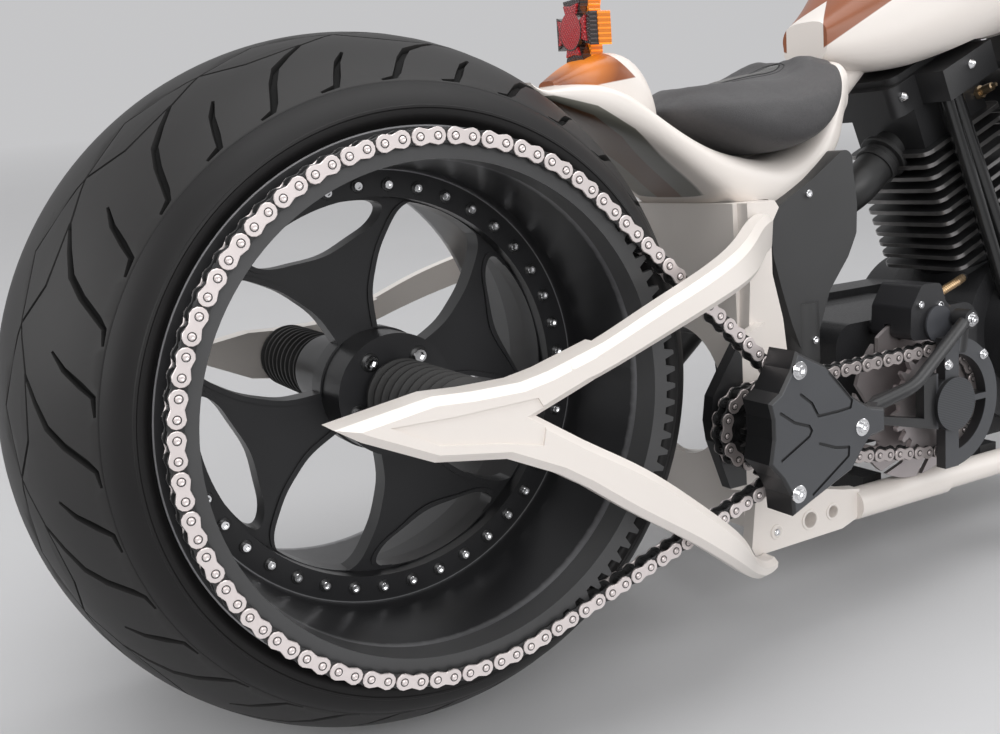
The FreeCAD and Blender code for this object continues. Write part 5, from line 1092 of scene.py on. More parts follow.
def build_rear_tyre():
    """The wide rear tyre: hooked grooves in pairs from two thin zigzags, under low ribbed walls."""
    long_groove = [(0, 75), (3.6, 91), (7, 105), (9.4, 122), (11.7, 140), (13, 148), (15.6, 150.6)]
    long_halves = (1.7, 2.8, 3.4, 3.6, 3.4, 2.8, 1.5)
    short_groove = [(18.2, 106), (20.4, 120), (22.2, 136), (23.7, 148), (26.8, 150.4)]
    short_halves = (1.4, 2.8, 3.4, 3.0, 1.5)
    outer_zigzag = [(-6.9, 56), (-0.3, 75), (9.5, 79), (15.6, 56), (22.2, 75)]
    inner_zigzag = [(-6.9, 56), (5.4, 38), (15.6, 56), (27.9, 38)]
    seam = [(-5, 0), (-5, 70), (2, 105), (7.5, 140), (8.8, 153)]
    grooves = ((long_groove, long_halves), (short_groove, short_halves), (outer_zigzag, (1.4,) * 5),
               (inner_zigzag, (1.4,) * 4))
    tread = Tread(base=106.5, crown=230.0, edge=144.3, shoulder=(281.0, 151.5), count=16, mean=318.0,
                  grooves=grooves, seam=seam, start=122.5, depth=5.5)
    wall = ((279.6, 152.3), (278.8, 154.6), (272.5, 163), (265, 170.1), (259.4, 173.1), (258.6, 174.4),
            (256.8, 174.8), (255.8, 174.0), (252, 174.1), (249.5, 173.4), (247.2, 171.6), (245.0, 168.2),
            (243.5, 166.4), (243.5, 157.8), (231.3, 157.8))
    mesh = tread.build(REAR_AXLE, wall, 10.0, 9.0)
    ready(mesh, "rear_tyre_tread", "rear_wheel", [finish(tyre_rubber)], ("rear_tyre",), 28)


def build_front_tyre():
    """The front tyre: the same hooked grooves on a round crown."""
    long_groove = [(0, 12), (3.2, 24), (6.4, 35), (8.6, 45), (11.4, 49)]
    short_groove = [(13.0, 27), (15.0, 38), (17.4, 48)]
    zigzag = [(-3, 6), (6.5, 11), (15, 6), (24.5, 11)]
    seam = [(-3.5, 0), (-3.5, 12), (3, 35), (6.4, 60)]
    grooves = ((long_groove, (1.4, 2.2, 2.6, 2.4, 1.3)), (short_groove, (1.3, 2.4, 1.3)),
               (zigzag, (1.1,) * 4))
    tread = Tread(base=280.0, crown=64.0, edge=50.0, shoulder=(317.2, 54.6), count=20, mean=330.0,
                  grooves=grooves, seam=seam, start=90.0, depth=4.0)
    wall = ((315.8, 55.4), (314.8, 57.0), (309, 60.4), (300, 64.0), (292, 65.6), (290.8, 66.4),
            (289.4, 66.0), (285, 63.4), (281, 59.0), (277.6, 54.6), (277.4, 47.8), (268.3, 47.8))
    mesh = tread.build(FRONT_AXLE, wall, 8.0, 7.0)
    ready(mesh, "front_tyre_tread", "front_wheel", [finish(tyre_rubber)], ("front_tyre",), 28)


def link_outline(reach, rise, waist):
    """A waisted link plate: two round eyes at plus and minus reach."""
    outline = []
    for centre, start in ((reach, -120), (-reach, 60)):
        for k in range(9):
            angle = math.radians(start + 30 * k)
            outline.append((centre + rise * math.cos(angle), rise * math.sin(angle)))
        outline.append((0, math.copysign(waist, centre)))
    return outline


def chain_shapes():
    """The outer link with its pins and the inner link with its rollers, both across Y."""
    roller, bore, half_width = 5.0, 2.95, 4.9
    washer = ((-1.5, 3.7), (0.62, 3.7), (0.62, 2.9), (-1.5, 2.9))
    pin = ((0, 0), (0, 2.5), (5.3, 2.5), (5.9, 1.7), (5.5, 0.8), (5.5, 0))
    tube = ((-half_width, bore), (-half_width, roller), (half_width, roller), (half_width, bore))
    outer, inner = Build(), Build()
    for way in (-1, 1):
        outer.plate(link_outline(PITCH / 2, 7.5, 5.4), *sorted((way * 7.1, way * 9.3)), 0.5)
        inner.plate(link_outline(PITCH / 2, 7.9, 6.0), *sorted((way * half_width, way * 7.0)), 0.4)
    for x in (-PITCH / 2, PITCH / 2):
        for way in (-1, 1):
            inner.turned((x, way * 9.0, 0), (0, way, 0), washer, 12)
            outer.turned((x, way * 5.0, 0), (0, way, 0), pin, 10)
        inner.turned((x, 0, 0), (0, 1, 0), tube, 10)
    return outer, inner


def build_chain(name, big, small, plane, start, count, silver, stands_for):
    """A roller chain round two sprockets: waisted silver outer plates, dark inner links and rollers."""
    dark = black("oiled_chain", 0.02, 0.3)
    line = [(x, -plane, z) for x, z in round_line(*big, *small, math.radians(start))]
    recipe = links_recipe("Y")
    outer, inner = chain_shapes()
    for part, shape, material, first in (("", outer, silver, 0), ("_inside", inner, dark, 1)):
        mesh = recipe.run(line, shape, material, closed=True, Count=count, First=first)
        ready(mesh, name + part, "frame", [material], () if part else (stands_for,))


def build_chains():
    """The drive chain to the ring sprocket and the inner chain to the gearbox's output."""

    def sprocket(centre, teeth):
        return (centre.x, centre.z), PITCH / 2 / math.sin(math.pi / teeth)

    bright = finish(chain_silver, "bright_chain", (0.84, 0.765, 0.75))
    build_chain("drive_chain_links", sprocket(REAR_AXLE, 92), sprocket(JACK, 17), 192.5, 80.54, 108, bright,
                "drive_chain")
    # Painted shade: the inner chain's outer plates take the drive chain's silver darkened, for the shade they
    # lie in.
    dull = finish(chain_silver, "dull_chain", (0.50, 0.45, 0.44))
    build_chain("inner_chain_links", sprocket(OUTPUT, 24), sprocket(JACK, 15), 150.0, 0.0, 54, dull,
                "inner_chain")


# The tree that every ring of copies shares, made at its first use
RING = []


def ring_of(name, body, material, shape, count, radius, centre, start=0.0):
    """A ring of one shape round an axis across the bike."""
    if not RING:
        RING.append(ring_recipe())
    mesh = RING[0].run([(0, 0, 0), (1, 0, 0)], shape, material, Count=count, Radius=radius,
                       Start=(0, -math.radians(start), 0), Centre=centre)
    return ready(mesh, name, body, [material])


class MOTORCYCLE_OT_tyres(bpy.types.Operator):
    """Builds both tyres with their tread and walls"""

    bl_idname = "motorcycle.tyres"
    bl_label = "Tyres"

    def execute(self, context):
        build_rear_tyre()
        build_front_tyre()
        return {"FINISHED"}


class MOTORCYCLE_OT_chains(bpy.types.Operator):
    """Builds both roller chains, link by link"""

    bl_idname = "motorcycle.chains"
    bl_label = "Chains"

    def execute(self, context):
        build_chains()
        return {"FINISHED"}


# Trim


def search_tree(mesh):
    """A search tree over a mesh, in the bike's own axes."""
    back = BIKE.inverted()
    return BVHTree.FromPolygons([back @ vert.co for vert in mesh.vertices],
                                [tuple(face.vertices) for face in mesh.polygons])


SURFACES = {}


def surface(node):
    """The search tree over a piece of the frame, made once."""
    if node not in SURFACES:
        SURFACES[node] = search_tree(frame["nodes"][node].data)
    return SURFACES[node]


def face_at(node, x, z, side):
    """How far out a piece's face lies at (x, z), seen from that side."""
    hit = surface(node).ray_cast(Vector((x, side * 400, z)), Vector((0, -side, 0)))[0]
    if hit is None:
        raise ValueError(f"{node} has no face at {x}, {z}")
    return hit.y


def chrome():
    """Bright plated metal, made once."""
    return finish(metal, "chrome", (0.82, 0.82, 0.83), 0.12, 0.05)


def dark_washer():
    """The near black of the washers, made once."""
    return black("dark_washer", 0.016, 0.3)


def screws(name, body, node, spots, side, reach, rise, washer=0.0):
    """Socket screws on a piece's side face, each on a dark washer where one is asked for."""
    sunk = 0.3
    foot = ((0, 0), (0, washer), (1.4, washer), (1.8, washer - 0.5), (1.8, 0))
    build = Build()
    for x, z in spots:
        y = face_at(node, x, z, side)
        if washer:
            build.turned((x, y - side * sunk, z), (0, side, 0), foot, 20, 1)
        build.screw((x, y + side * (SCREW_LIFT if washer else -sunk), z), (0, side, 0), reach, rise)
    return ready(build, name, body, [chrome(), dark_washer()])


def around(centre, radius, count, start):
    """(x, z) places on a circle, the first at the start angle in degrees."""
    x, z = centre
    angles = [math.radians(start + 360 * k / count) for k in range(count)]
    return [(x + radius * math.cos(angle), z + radius * math.sin(angle)) for angle in angles]


def bolt_ring(name, body, radius, count, start, centre, side, reach, rise, washer=0.0):
    """A ring of socket screws that point to one side, with dark washers under them."""
    head = Build()
    head.screw((0, side * (SCREW_LIFT if washer else -0.2), 0), (0, side, 0), reach, rise)
    ring_of(name, body, chrome(), head, count, radius, centre, start)
    if washer:
        profile = ((0, 0), (0, washer), (1.2, washer), (1.7, washer - 0.6), (1.7, 0))
        foot = Build()
        foot.turned((0, -side * 0.3, 0), (0, side, 0), profile, 14)
        ring_of(name + "_washers", body, dark_washer(), foot, count, radius, centre, start)


# How far a screw's head stands off the face on its washer
SCREW_LIFT = 1.2
# Screws of the drive's right side: name, piece, (x, z) places, head's reach and rise, washer's reach
RIGHT_SCREWS = (
    ("cover_screws", "drive_cover", ((346, 325), (427, 254), (341, 203)), 5.6, 3.6, 9.0),
    ("half_ring_screws", "drive_cover", ((691.9, 279.0), (633.2, 275.5)), 4.0, 3.0, 6.0),
    ("caliper_screws", "rotor_caliper", ((614, 345), (645.8, 340.7)), 4.4, 3.4, 0.0),
    ("rod_screw", "drive_cover", ((664, 324),), 5.4, 4.0, 8.0),
    ("oil_tank_screws", "oil_tank", ((493.5, 318.2), (493.5, 480.0)), 4.4, 3.2, 0.0),
)
PLATE_SCREW = (424, 111)
# How far each fork leg stands from the middle
FORK_Y = 104


def build_wheel_screws():
    """Screws of both wheels: the disc's forty in the rim, the hubs' and the front disc's."""
    x, z = REAR_AXLE.x, REAR_AXLE.z
    bolt_ring("rear_rim_screws", "rear_wheel", 194.1, 40, 92.5, (x, -54, z), -1, 4.3, 3.6, 6.4)
    bolt_ring("rear_rim_screws_inside", "rear_wheel", 194.1, 40, 92.5, (x, -18, z), 1, 4.0, 3.0)
    bolt_ring("rear_hub_screws", "rear_wheel", 42.0, 5, 125.4, (x, -82, z), -1, 6.8, 4.6, 9.0)
    x, z = FRONT_AXLE.x, FRONT_AXLE.z
    for side, word in ((-1, "right"), (1, "left")):
        spots = around((x, z), 34.0, 5, 90)
        screws("front_hub_screws_" + word, "front_wheel", "front_wheel_centre", spots, side, 5.0, 3.4)
    screws("front_disc_screws", "front_wheel", "front_disc", around((x, z), 44.0, 6, 30), 1, 5.0, 3.2)


def build_drive_screws():
    """Screws of the drive's right side, and the raised rings round the holes of the lower plates."""
    for name, node, spots, reach, rise, washer in RIGHT_SCREWS:
        screws(name, "frame", node, spots, -1, reach, rise, washer)
    rings = Build()
    boss = ((0, 0), (0, 9.0), (1.6, 8.6), (2.2, 7.2), (1.6, 5.6), (0.9, 5.2), (0.9, 0))
    for side, node in ((-1, "frame_side_right"), (1, "frame_side_left")):
        for x, z, reach in ((474, 114, 9.0), (509, 116, 7.0)):
            y = face_at(node, x, z + reach + 3, side)
            collar = ((0, reach), (0, reach + 3.4), (1.6, reach + 3.0), (2.0, reach + 1.8),
                      (1.6, reach + 0.2))
            rings.turned((x, y - side * 0.4, z), (0, side, 0), collar, 28)
        x, z = PLATE_SCREW
        rings.turned((x, face_at(node, x, z, side) - side * 0.4, z), (0, side, 0), boss, 28)
    ready(rings, "plate_rings", "frame", [white()])
    screws("plate_screws", "frame", "frame_side_right", (PLATE_SCREW,), -1, 4.2, 2.4)


def on_cylinder(way, across, up):
    """(x, z) of a place on a cylinder, across its axis and up from the crank. The rear one's way is -1."""
    tilt = way * TILT
    return (CRANK.x + across * math.cos(tilt) + up * math.sin(tilt),
            CRANK.z - across * math.sin(tilt) + up * math.cos(tilt))


def build_engine_trim():
    """Screws of the covers, nuts of the rocker boxes, and both spark plugs with their caps."""
    x, z = CRANK.x, CRANK.z
    cap = ((0, 0), (0, 5.2), (3, 5.2), (4, 6.0), (16, 5.2), (17, 3.2), (22, 2.6), (22, 0))
    bolt_ring("primary_front_screws", "frame", 83.0, 10, 18, (x, 142, z), 1, 5.0, 3.4)
    rear_ring = around((x - 270, z - 12), 70.0, 7, 75)
    screws("primary_rear_screws", "frame", "primary_cover", rear_ring, 1, 5.0, 3.4)
    bolt_ring("cam_cover_screws", "frame", 64.7, 6, 30, (x, -104, z + 10), -1, 4.6, 3.2)
    nuts = Build()
    brass = Build()
    for node, way in (("rear_cylinder", -1), ("front_cylinder", 1)):
        for side in (-1, 1):
            for across, up in ((-74, 372), (0, 376), (74, 372)):
                a, b = on_cylinder(way, across, up)
                nuts.nut((a, face_at(node, a, b, side) - side * 0.4, b), (0, side, 0), 6.4, 4.6)
        a, b = on_cylinder(way, way * -52.0, 318.0)
        y = face_at(node, a, b, -1)
        lean = Vector((0, -1, 0.35)).normalized()
        brass.nut((a, y + 0.5, b), lean, 9.0, 6.0, dome=False)
        brass.turned(Vector((a, y, b)) + lean * 6.0, lean, cap, 16, 1)
    ready(nuts, "rocker_nuts", "frame", [chrome()])
    ready(brass, "spark_plugs", "frame", [finish(metal, "brass", (0.62, 0.47, 0.30), 0.3),
                                          black("plug_cap", 0.02, 0.4)])


def build_air_cleaner_trim():
    """The air cleaner's pleated rim, its ribbed face and its screws."""
    x, z = CRANK.x, CRANK.z + 318
    pleat = Build()
    pleat.plate([(-6, -1.3), (1.6, -0.5), (1.6, 0.5), (-6, 1.3)], -14.0, 14.0, 0.3)
    dull = finish(metal, "dull_steel", (0.30, 0.30, 0.30), 0.45)
    ring_of("air_cleaner_pleats", "frame", dull, pleat, 72, 84.0, (x, -143, z))
    face = Build()
    for reach in (66.0, 50.0, 34.0):
        rib = ((0, reach - 2.4), (0, reach + 2.4), (1.4, reach + 1.8), (2.2, reach), (1.4, reach - 1.8))
        face.turned((x, -169.8, z), (0, -1, 0), rib, 56)
    ready(face, "air_cleaner_ribs", "frame", [finish(wrinkle_black)], sharp=60)
    spots = [(x, z)] + around((x, z), 75.0, 3, 90)
    screws("air_cleaner_screws", "frame", "air_cleaner", spots, -1, 5.0, 3.6)


def build_exhaust_clamps():
    """Two clamps on each exhaust pipe, close to its cylinder."""
    wide = ((0, 24.2), (0, 30.5), (1.5, 32), (5, 32), (6.5, 30.5), (6.5, 24.2))
    slim = ((0, 24.2), (0, 26.6), (1, 27.4), (9, 27.4), (10, 26.6), (10, 24.2))
    clamps = Build()
    for start, end in (((1052, -20, 520), (1150, -60, 480)), ((756, 4, 524), (682, 4, 468))):
        way = (Vector(end) - Vector(start)).normalized()
        for along, profile in ((26, wide), (40, slim)):
            clamps.turned(Vector(start) + way * along, way, profile, 36)
    ready(clamps, "exhaust_clamps", "frame", [black("pipe_black", 0.020, 0.5, 0.2)])


def build_fork_trim():
    """Caps and wipers of the fork legs, the axle's nuts and the steering nut."""
    wiper = ((0, 25.3), (0, 33), (3, 33.5), (5, 32), (10, 28.5), (11, 26), (11, 25.3))
    chromed, seals = Build(), Build()
    for side in (-1, 1):
        chromed.nut((1340.5, side * FORK_Y, 1032.5), FORK_UP, 14.5, 4.5)
        chromed.nut((FRONT_AXLE.x, side * 139, FRONT_AXLE.z), (0, side, 0), 12.5, 6.0, dome=False)
        seals.turned((1707.8, side * FORK_Y, 594.7), FORK_UP, wiper, 36)
    chromed.nut((1298.4, 0, 952.9), FORK_UP, 18.0, 6.0)
    ready(chromed, "fork_nuts", "fork", [chrome()])
    ready(seals, "fork_seals", "fork", [finish(rubber, "seal_rubber", 0.02)])


def build_grips():
    """Ribbed grips over the handlebar's ends."""
    ribs, rib_step = 24, 4.4
    profile = [(0, 0), (0, 17.05), (0, 21.0), (2.5, 21.6), (5, 20.6), (6, 18.2)]
    for k in range(ribs):
        profile += [(8 + k * rib_step, 18.0), (9.2 + k * rib_step, 18.9), (11.0 + k * rib_step, 18.9)]
    profile += [(117, 18.4), (122, 19.2), (126, 18.6), (127.5, 15.0), (127.5, 0)]
    grips = Build()
    for side in (-1, 1):
        start, end = Vector((1165.2, side * 309.0, 1069.1)), Vector((1096.5, side * 412.0, 1051.9))
        grips.turned(start, end - start, profile, 26)
    ready(grips, "grips", "fork", [finish(rubber, "grip_rubber", 0.022)], sharp=50)


def build_headlight_trim():
    """The headlight's two chromed rings and its lens."""
    lamp_x, lamp_z, ahead = 1582.1, 937.7, (1, 0, 0)
    ring = ((0, 56.6), (0, 64.4), (4, 65.6), (9, 65.0), (14, 62.5), (17, 59.0), (17.4, 57.4), (16.6, 56.6))
    band = ((0, 63.8), (1, 65.0), (5, 65.0), (6, 63.8))
    dome = ((0, 0), (0, 56.4), (2.6, 56.2), (5, 50), (7.4, 38), (9, 24), (9.9, 10), (10, 0))
    bezel = Build()
    for along, profile in ((31, ring), (2, band)):
        bezel.turned((lamp_x + along, 0, lamp_z), ahead, profile, 72)
    ready(bezel, "headlight_ring", "fork", [chrome()], sharp=50)
    lens = Build()
    lens.turned((lamp_x + 44.5, 0, lamp_z), ahead, dome, 64)
    ready(lens, "headlight_lens", "fork", [finish(clear_lens)], sharp=60)


def build_filler_cap():
    """The tank's filler cap, with round flutes on its rim."""
    profile = ((0, 0), (0, 30), (2, 31.5), (6, 31.5), (8.5, 29.5), (9.5, 24), (8.6, 20), (9.8, 15),
               (10.4, 0))
    flutes, rim_radius = 18, 31.2
    cap = Build()
    spot = surface("fuel_tank").ray_cast(Vector((TANK_CAP_X, 0, 1200)), Vector((0, 0, -1)))[0]
    cap.turned(spot + Vector((0, 0, -0.5)), (0, 0, 1), profile, 48)
    for k in range(flutes):
        angle = math.radians(360 / flutes * k)
        a, b = rim_radius * math.cos(angle), rim_radius * math.sin(angle)
        cap.tube([spot + Vector((a, b, height)) for height in (1.5, 7.0)], 1.7, 6)
    ready(cap, "filler_cap", "frame", [chrome()], sharp=40)


def cross_outline(reach, flare, waist):
    """Four flared arms round a middle, as (across, up) corners."""
    outline = []
    for k in range(4):
        angle = math.radians(90 * k)
        for far, side in ((waist, -waist), (reach, -flare), (reach * 0.93, 0), (reach, flare)):
            outline.append((far * math.cos(angle) - side * math.sin(angle),
                            far * math.sin(angle) + side * math.cos(angle)))
    return outline


def lamp_cross(reach, flare, waist, near, far, bevel):
    """A cross-shaped plate behind the tail light's middle, still across the bike."""
    cross = Build()
    cross.plate([(-a, b + TAIL_LAMP_Z) for a, b in cross_outline(reach, flare, waist)], near, far, bevel)
    return cross


def faced_back(build):
    """Turns what was built across the bike to face backwards, at the tail light."""
    turn = Matrix.Translation((TAIL_LAMP_X, 0, 0)) @ Matrix.Rotation(math.pi / 2, 4, "Z")
    bmesh.ops.transform(build.mesh, matrix=turn, verts=build.mesh.verts)
    return build


def upright_box(x, rear, front, low, high):
    """The corners of an upright rectangle, rear and front measured forwards from x."""
    return [(x + rear, low), (x + front, low), (x + front, high), (x + rear, high)]


def build_tail_light():
    """The red cross lens with its beads, its smoked rim, and the amber lenses of the arms' sides."""
    x, z = TAIL_LAMP_X, TAIL_LAMP_Z
    red = lamp_cross(26.5, 13.0, 6.2, 25.6, 29.0, 0.8)
    bead, bead_step = ((0, 0), (0, 1.9), (1.7, 0)), 3.6
    for row in range(-3, 4):
        for column in range(-3, 4):
            red.turned((column * bead_step, 28.6, z + row * bead_step), (0, 1, 0), bead, 6)
    glass = finish(coloured_lens, "red_lens", (0.50, 0.012, 0.018), 0.35)
    ready(faced_back(red), "tail_light_red", "frame", [glass], sharp=20)
    amber = Build()
    for side in (-1, 1):
        near, far = sorted((side * 31.2, side * 33.4))
        amber.plate(upright_box(x, -16.5, -0.6, z - 16.0, z + 16.0), near, far, 0.7)
        for way in (-1, 1):
            low, high = sorted((z + way * 15.4, z + way * 31.2))
            amber.plate(upright_box(x, -16.0, -0.8, low, high), *sorted((side * 8.0, side * 16.2)), 0.6)
    glass = finish(coloured_lens, "amber_lens", (0.95, 0.26, 0.01), 0.9)
    ready(amber, "tail_light_amber", "frame", [glass])
    rim = lamp_cross(31.0, 16.4, 7.6, 24.6, 26.6, 0.5)
    glass = finish(coloured_lens, "smoked_lens", (0.045, 0.018, 0.016), 0.0)
    ready(faced_back(rim), "tail_light_rim", "frame", [glass])


class MOTORCYCLE_OT_screws(bpy.types.Operator):
    """Builds the screws of the wheels and of the drive"""

    bl_idname = "motorcycle.screws"
    bl_label = "Screws"

    def execute(self, context):
        build_wheel_screws()
        build_drive_screws()
        return {"FINISHED"}


class MOTORCYCLE_OT_engine(bpy.types.Operator):
    """Builds the engine's nuts, plugs, ribs and clamps"""

    bl_idname = "motorcycle.engine"
    bl_label = "Engine trim"

    def execute(self, context):
        build_engine_trim()
        build_air_cleaner_trim()
        build_exhaust_clamps()
        return {"FINISHED"}


class MOTORCYCLE_OT_front(bpy.types.Operator):
    """Builds the grips, the headlight's lens and the trim of fork and tank"""

    bl_idname = "motorcycle.front"
    bl_label = "Fork and tank trim"

    def execute(self, context):
        for build in (build_fork_trim, build_grips, build_headlight_trim, build_filler_cap):
            build()
        return {"FINISHED"}


class MOTORCYCLE_OT_tail_light(bpy.types.Operator):
    """Builds the lenses of the tail light"""

    bl_idname = "motorcycle.tail_light"
    bl_label = "Tail light"

    def execute(self, context):
        build_tail_light()
        return {"FINISHED"}


# Saddle


def solid_of(piece, kind, **settings):
    """The plain mesh of a piece under one modifier."""
    modifier = piece.modifiers.new("step", kind)
    for key, value in settings.items():
        setattr(modifier, key, value)
    graph = bpy.context.evaluated_depsgraph_get()
    made = bpy.data.meshes.new_from_object(piece.evaluated_get(graph))
    piece.modifiers.remove(modifier)
    return made


def swell(piece, cap):
    """Blows the pad up as cloth under pressure; no point moves further than the cap."""
    scene = bpy.context.scene
    first, last = 1, 20
    before = [vert.co.copy() for vert in piece.data.vertices]
    modifier = piece.modifiers.new("pad", "CLOTH")
    cloth = modifier.settings
    cloth.quality = 6
    cloth.mass = 0.3
    cloth.use_pressure = True
    cloth.uniform_pressure_force = 4.0
    cloth.effector_weights.gravity = 0.0
    modifier.point_cache.frame_start = first
    modifier.point_cache.frame_end = last
    for step in range(first, last + 1):
        scene.frame_set(step)
    graph = bpy.context.evaluated_depsgraph_get()
    blown = bpy.data.meshes.new_from_object(piece.evaluated_get(graph))
    piece.modifiers.remove(modifier)
    scene.frame_set(first)
    for vert, old in zip(blown.vertices, before):
        moved = vert.co - old
        if moved.length > cap:
            moved *= cap / moved.length
        vert.co = old + moved
    return blown


def swelling(far, middle):
    """1 where far is at the middle of a band, down to 0 at its rims."""
    half = 0.36
    return max(0.0, 1 - ((far - middle) / half) ** 2)


def dish(mesh):
    """Hollows the middle of the pad and raises the roll round it."""
    middle_x, half_length, half_width = 487, 84, 86
    back = BIKE.inverted()
    for vert in mesh.vertices:
        facing_up = vert.normal.dot(UPRIGHT)
        if facing_up < 0.1:
            continue
        spot = back @ vert.co
        far = ((spot.x - middle_x) / half_length) ** 2 + (spot.y / half_width) ** 2
        hollow = swelling(far, 0.42) * 4.2
        roll = swelling(far, 0.98) * 3.2
        spot.z += (roll - hollow) * min(1.0, facing_up * 1.6)
        vert.co = BIKE @ spot


def leaf(share, across):
    """(x, y) on the saddle's inset: share runs along it, across from -1 to 1."""
    rear, length, widest = 436, 118, 42.0
    wide = widest * (share ** 0.75) * ((1 - share) ** 0.42)
    return rear + length * share, across * wide


def build_pad():
    """The leather pad: the frame's pad drawn in, swollen as cloth, smoothed and dished."""
    node = frame["nodes"]["seat_pad"]
    shape = bmesh.new()
    shape.from_mesh(node.data)
    bmesh.ops.remove_doubles(shape, verts=shape.verts, dist=0.0004)
    shape.normal_update()
    drawn_in, most_swelling, voxel = 0.0028, 0.006, 0.0048
    for vert in shape.verts:
        vert.co -= vert.normal * drawn_in
    mesh = bpy.data.meshes.new("saddle_leather")
    shape.to_mesh(mesh)
    shape.free()
    pad = bpy.data.objects.new("saddle_leather", mesh)
    bpy.context.collection.objects.link(pad)
    pad.data = solid_of(pad, "REMESH", mode="VOXEL", voxel_size=voxel, adaptivity=0.0)
    pad.data = solid_of(pad, "SMOOTH", factor=0.6, iterations=8)
    pad.data = swell(pad, most_swelling)
    pad.data = solid_of(pad, "SMOOTH", factor=0.5, iterations=3)
    dish(pad.data)
    pad.data = solid_of(pad, "SMOOTH", factor=0.5, iterations=6)
    pad.data = solid_of(pad, "SUBSURF", levels=1, render_levels=1)
    pad.data.name = "saddle_leather"
    pad.data.shade_smooth()
    coat(pad, finish(leather))
    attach(pad, "frame")
    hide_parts("seat_pad")
    return pad


def on_skin(skin, x, y, over):
    """The point above (x, y) on the pad's upper face, raised along its normal."""
    hit, normal = skin.ray_cast(Vector((x, y, 900)), Vector((0, 0, -1)))[:2]
    return hit + normal * over


def build_inset(skin):
    """The stitched leaf-shaped inset: a thin plate that lies on the pad, its rim sunk into it."""
    rows, columns, over_rim = 33, 13, 0.1
    layers = []
    for over in (0.7, -1.2):
        for i in range(rows):
            for j in range(columns):
                inside = 0 < j < columns - 1 and 0 < i < rows - 1
                x, y = leaf(0.02 + 0.96 * i / (rows - 1), 2 * j / (columns - 1) - 1)
                layers.append(on_skin(skin, x, y, over if inside else min(over, over_rim)))
    faces = []
    total = rows * columns
    for i in range(rows - 1):
        for j in range(columns - 1):
            a = i * columns + j
            faces.append((a, a + 1, a + columns + 1, a + columns))
            faces.append((total + a, total + a + columns, total + a + columns + 1, total + a + 1))
    rim = list(range(columns)) + [i * columns + columns - 1 for i in range(1, rows)]
    rim += [(rows - 1) * columns + j for j in range(columns - 2, -1, -1)]
    rim += [i * columns for i in range(rows - 2, 0, -1)]
    for a, b in zip(rim, rim[1:] + rim[:1]):
        faces.append((b, a, total + a, total + b))
    inset = Build()
    inset.add(layers, faces)
    ready(inset, "saddle_inset", "frame", [finish(panel_thread)], sharp=60)


def build_seams(skin):
    """Two piped seams round the inset, the outer one lower and thinner."""
    seam = Build()
    shares = [k / 30 for k in range(31)]
    for grow, over, reach in ((1.0, 0.15, 0.95), (1.55, -0.1, 0.7)):
        line = []
        for side, along in ((-1, shares), (1, shares[::-1])):
            for share in along:
                x, y = leaf(0.005 + 0.99 * share, side * grow)
                line.append(on_skin(skin, x, y + side * (grow - 1) * 3.0, over))
        seam.tube(line, reach, 6)
    ready(seam, "saddle_seams", "frame", [black("seam_black", 0.008, 0.6)], sharp=60)


def build_stitches(skin):
    """Seven rows of stitches along the inset."""
    thread = finish(rubber, "grey_thread", 0.17)
    recipe = links_recipe("Z")
    stitches = Build()
    for across in (-0.78, -0.52, -0.26, 0.0, 0.26, 0.52, 0.78):
        line = [on_skin(skin, *leaf(0.06 + 0.88 * k / 40, across), 0.85) for k in range(41)]
        shape = Build()
        shape.tube([(-1.1, 0, -0.25), (-0.7, 0, 0.2), (0.7, 0, 0.2), (1.1, 0, -0.25)],
                   [0.2, 0.36, 0.36, 0.2], 6)
        mesh = recipe.run(line, shape, thread, Count=70, First=0)
        stitches.mesh.from_mesh(mesh)
    mesh = bpy.data.meshes.new("saddle_stitches")
    stitches.mesh.to_mesh(mesh)
    stitches.mesh.free()
    ready(mesh, "saddle_stitches", "frame", [thread], sharp=60)


def build_saddle():
    """The leather pad, its inset, seams and stitches."""
    skin = search_tree(build_pad().data)
    build_inset(skin)
    build_seams(skin)
    build_stitches(skin)


class MOTORCYCLE_OT_saddle(bpy.types.Operator):
    """Builds the padded saddle with its seams and stitching"""

    bl_idname = "motorcycle.saddle"
    bl_label = "Saddle"

    def execute(self, context):
        build_saddle()
        return {"FINISHED"}


# Add-on


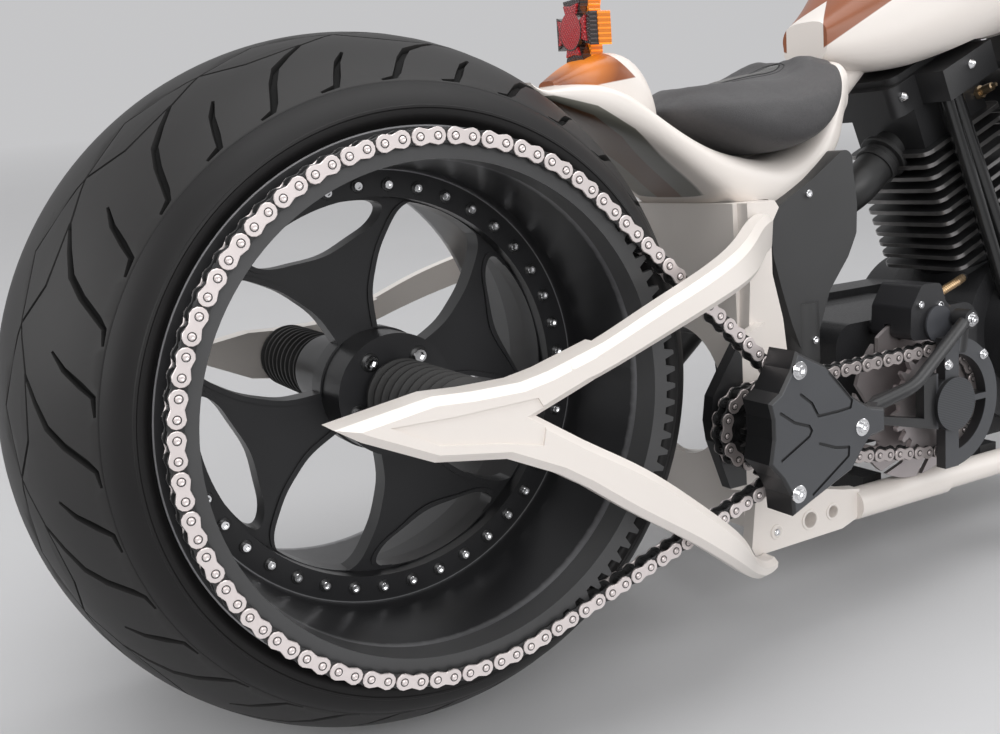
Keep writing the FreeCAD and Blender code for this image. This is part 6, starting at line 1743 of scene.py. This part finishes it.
class MotorcycleLooks(bpy.types.PropertyGroup):
    """Sizes and colours that a user would change."""

    white: FloatVectorProperty(name="White paint", description="Colour of the frame, tail and tank",
                               default=(0.80, 0.745, 0.70), subtype="COLOR", min=0, max=1)
    copper: FloatVectorProperty(name="Inlay", description="Colour of the copper-brown inlays",
                                default=(0.25, 0.064, 0.012), subtype="COLOR", min=0, max=1)
    leather: FloatVectorProperty(name="Leather", description="Colour of the saddle",
                                 default=(0.052, 0.050, 0.052),
                                 subtype="COLOR", min=0, max=1)
    lens: FloatProperty(name="Lens", description="Focal length of the camera", default=41.15, min=10,
                        subtype="DISTANCE_CAMERA")
    light: FloatProperty(name="Light", description="Power of the top softbox in watts", default=80.0, min=0)
    backdrop: FloatVectorProperty(name="Backdrop", description="Grey of the backdrop as the camera sees it",
                                  default=(0.56, 0.56, 0.57), subtype="COLOR", min=0, max=1)


def looks():
    """The values of this scene."""
    return bpy.context.scene.motorcycle_looks


class MOTORCYCLE_OT_finishes(bpy.types.Operator):
    """Puts a finish on every piece of the frame"""

    bl_idname = "motorcycle.finishes"
    bl_label = "Frame finishes"

    def execute(self, context):
        for name, material in node_finishes().items():
            coat(frame["nodes"][name], material)
        return {"FINISHED"}


class MOTORCYCLE_OT_stage(bpy.types.Operator):
    """Sets the camera, the floor and the lamps"""

    bl_idname = "motorcycle.stage"
    bl_label = "Camera and stage"

    def execute(self, context):
        set_stage()
        return {"FINISHED"}


OPERATORS = (MOTORCYCLE_OT_finishes, MOTORCYCLE_OT_tyres, MOTORCYCLE_OT_chains, MOTORCYCLE_OT_saddle,
             MOTORCYCLE_OT_screws, MOTORCYCLE_OT_engine, MOTORCYCLE_OT_front, MOTORCYCLE_OT_tail_light,
             MOTORCYCLE_OT_stage)


class MOTORCYCLE_PT_looks(bpy.types.Panel):
    """Lists the steps and the values"""

    bl_idname = "MOTORCYCLE_PT_looks"
    bl_label = "Motorcycle"
    bl_space_type = "VIEW_3D"
    bl_region_type = "UI"
    bl_category = "Motorcycle"

    def draw(self, context):
        for name in MotorcycleLooks.__annotations__:
            self.layout.prop(looks(), name)
        for operator in OPERATORS:
            self.layout.operator(operator.bl_idname)


CLASSES = (MotorcycleLooks, *OPERATORS, MOTORCYCLE_PT_looks)


def register():
    for each in CLASSES:
        bpy.utils.register_class(each)
    bpy.types.Scene.motorcycle_looks = PointerProperty(type=MotorcycleLooks)


def unregister():
    del bpy.types.Scene.motorcycle_looks
    for each in reversed(CLASSES):
        bpy.utils.unregister_class(each)


def main():
    """Builds everything through the operators."""
    register()
    for operator in OPERATORS:
        group, name = operator.bl_idname.split(".")
        getattr(getattr(bpy.ops, group), name)()


if __name__ == "__main__":
    main()
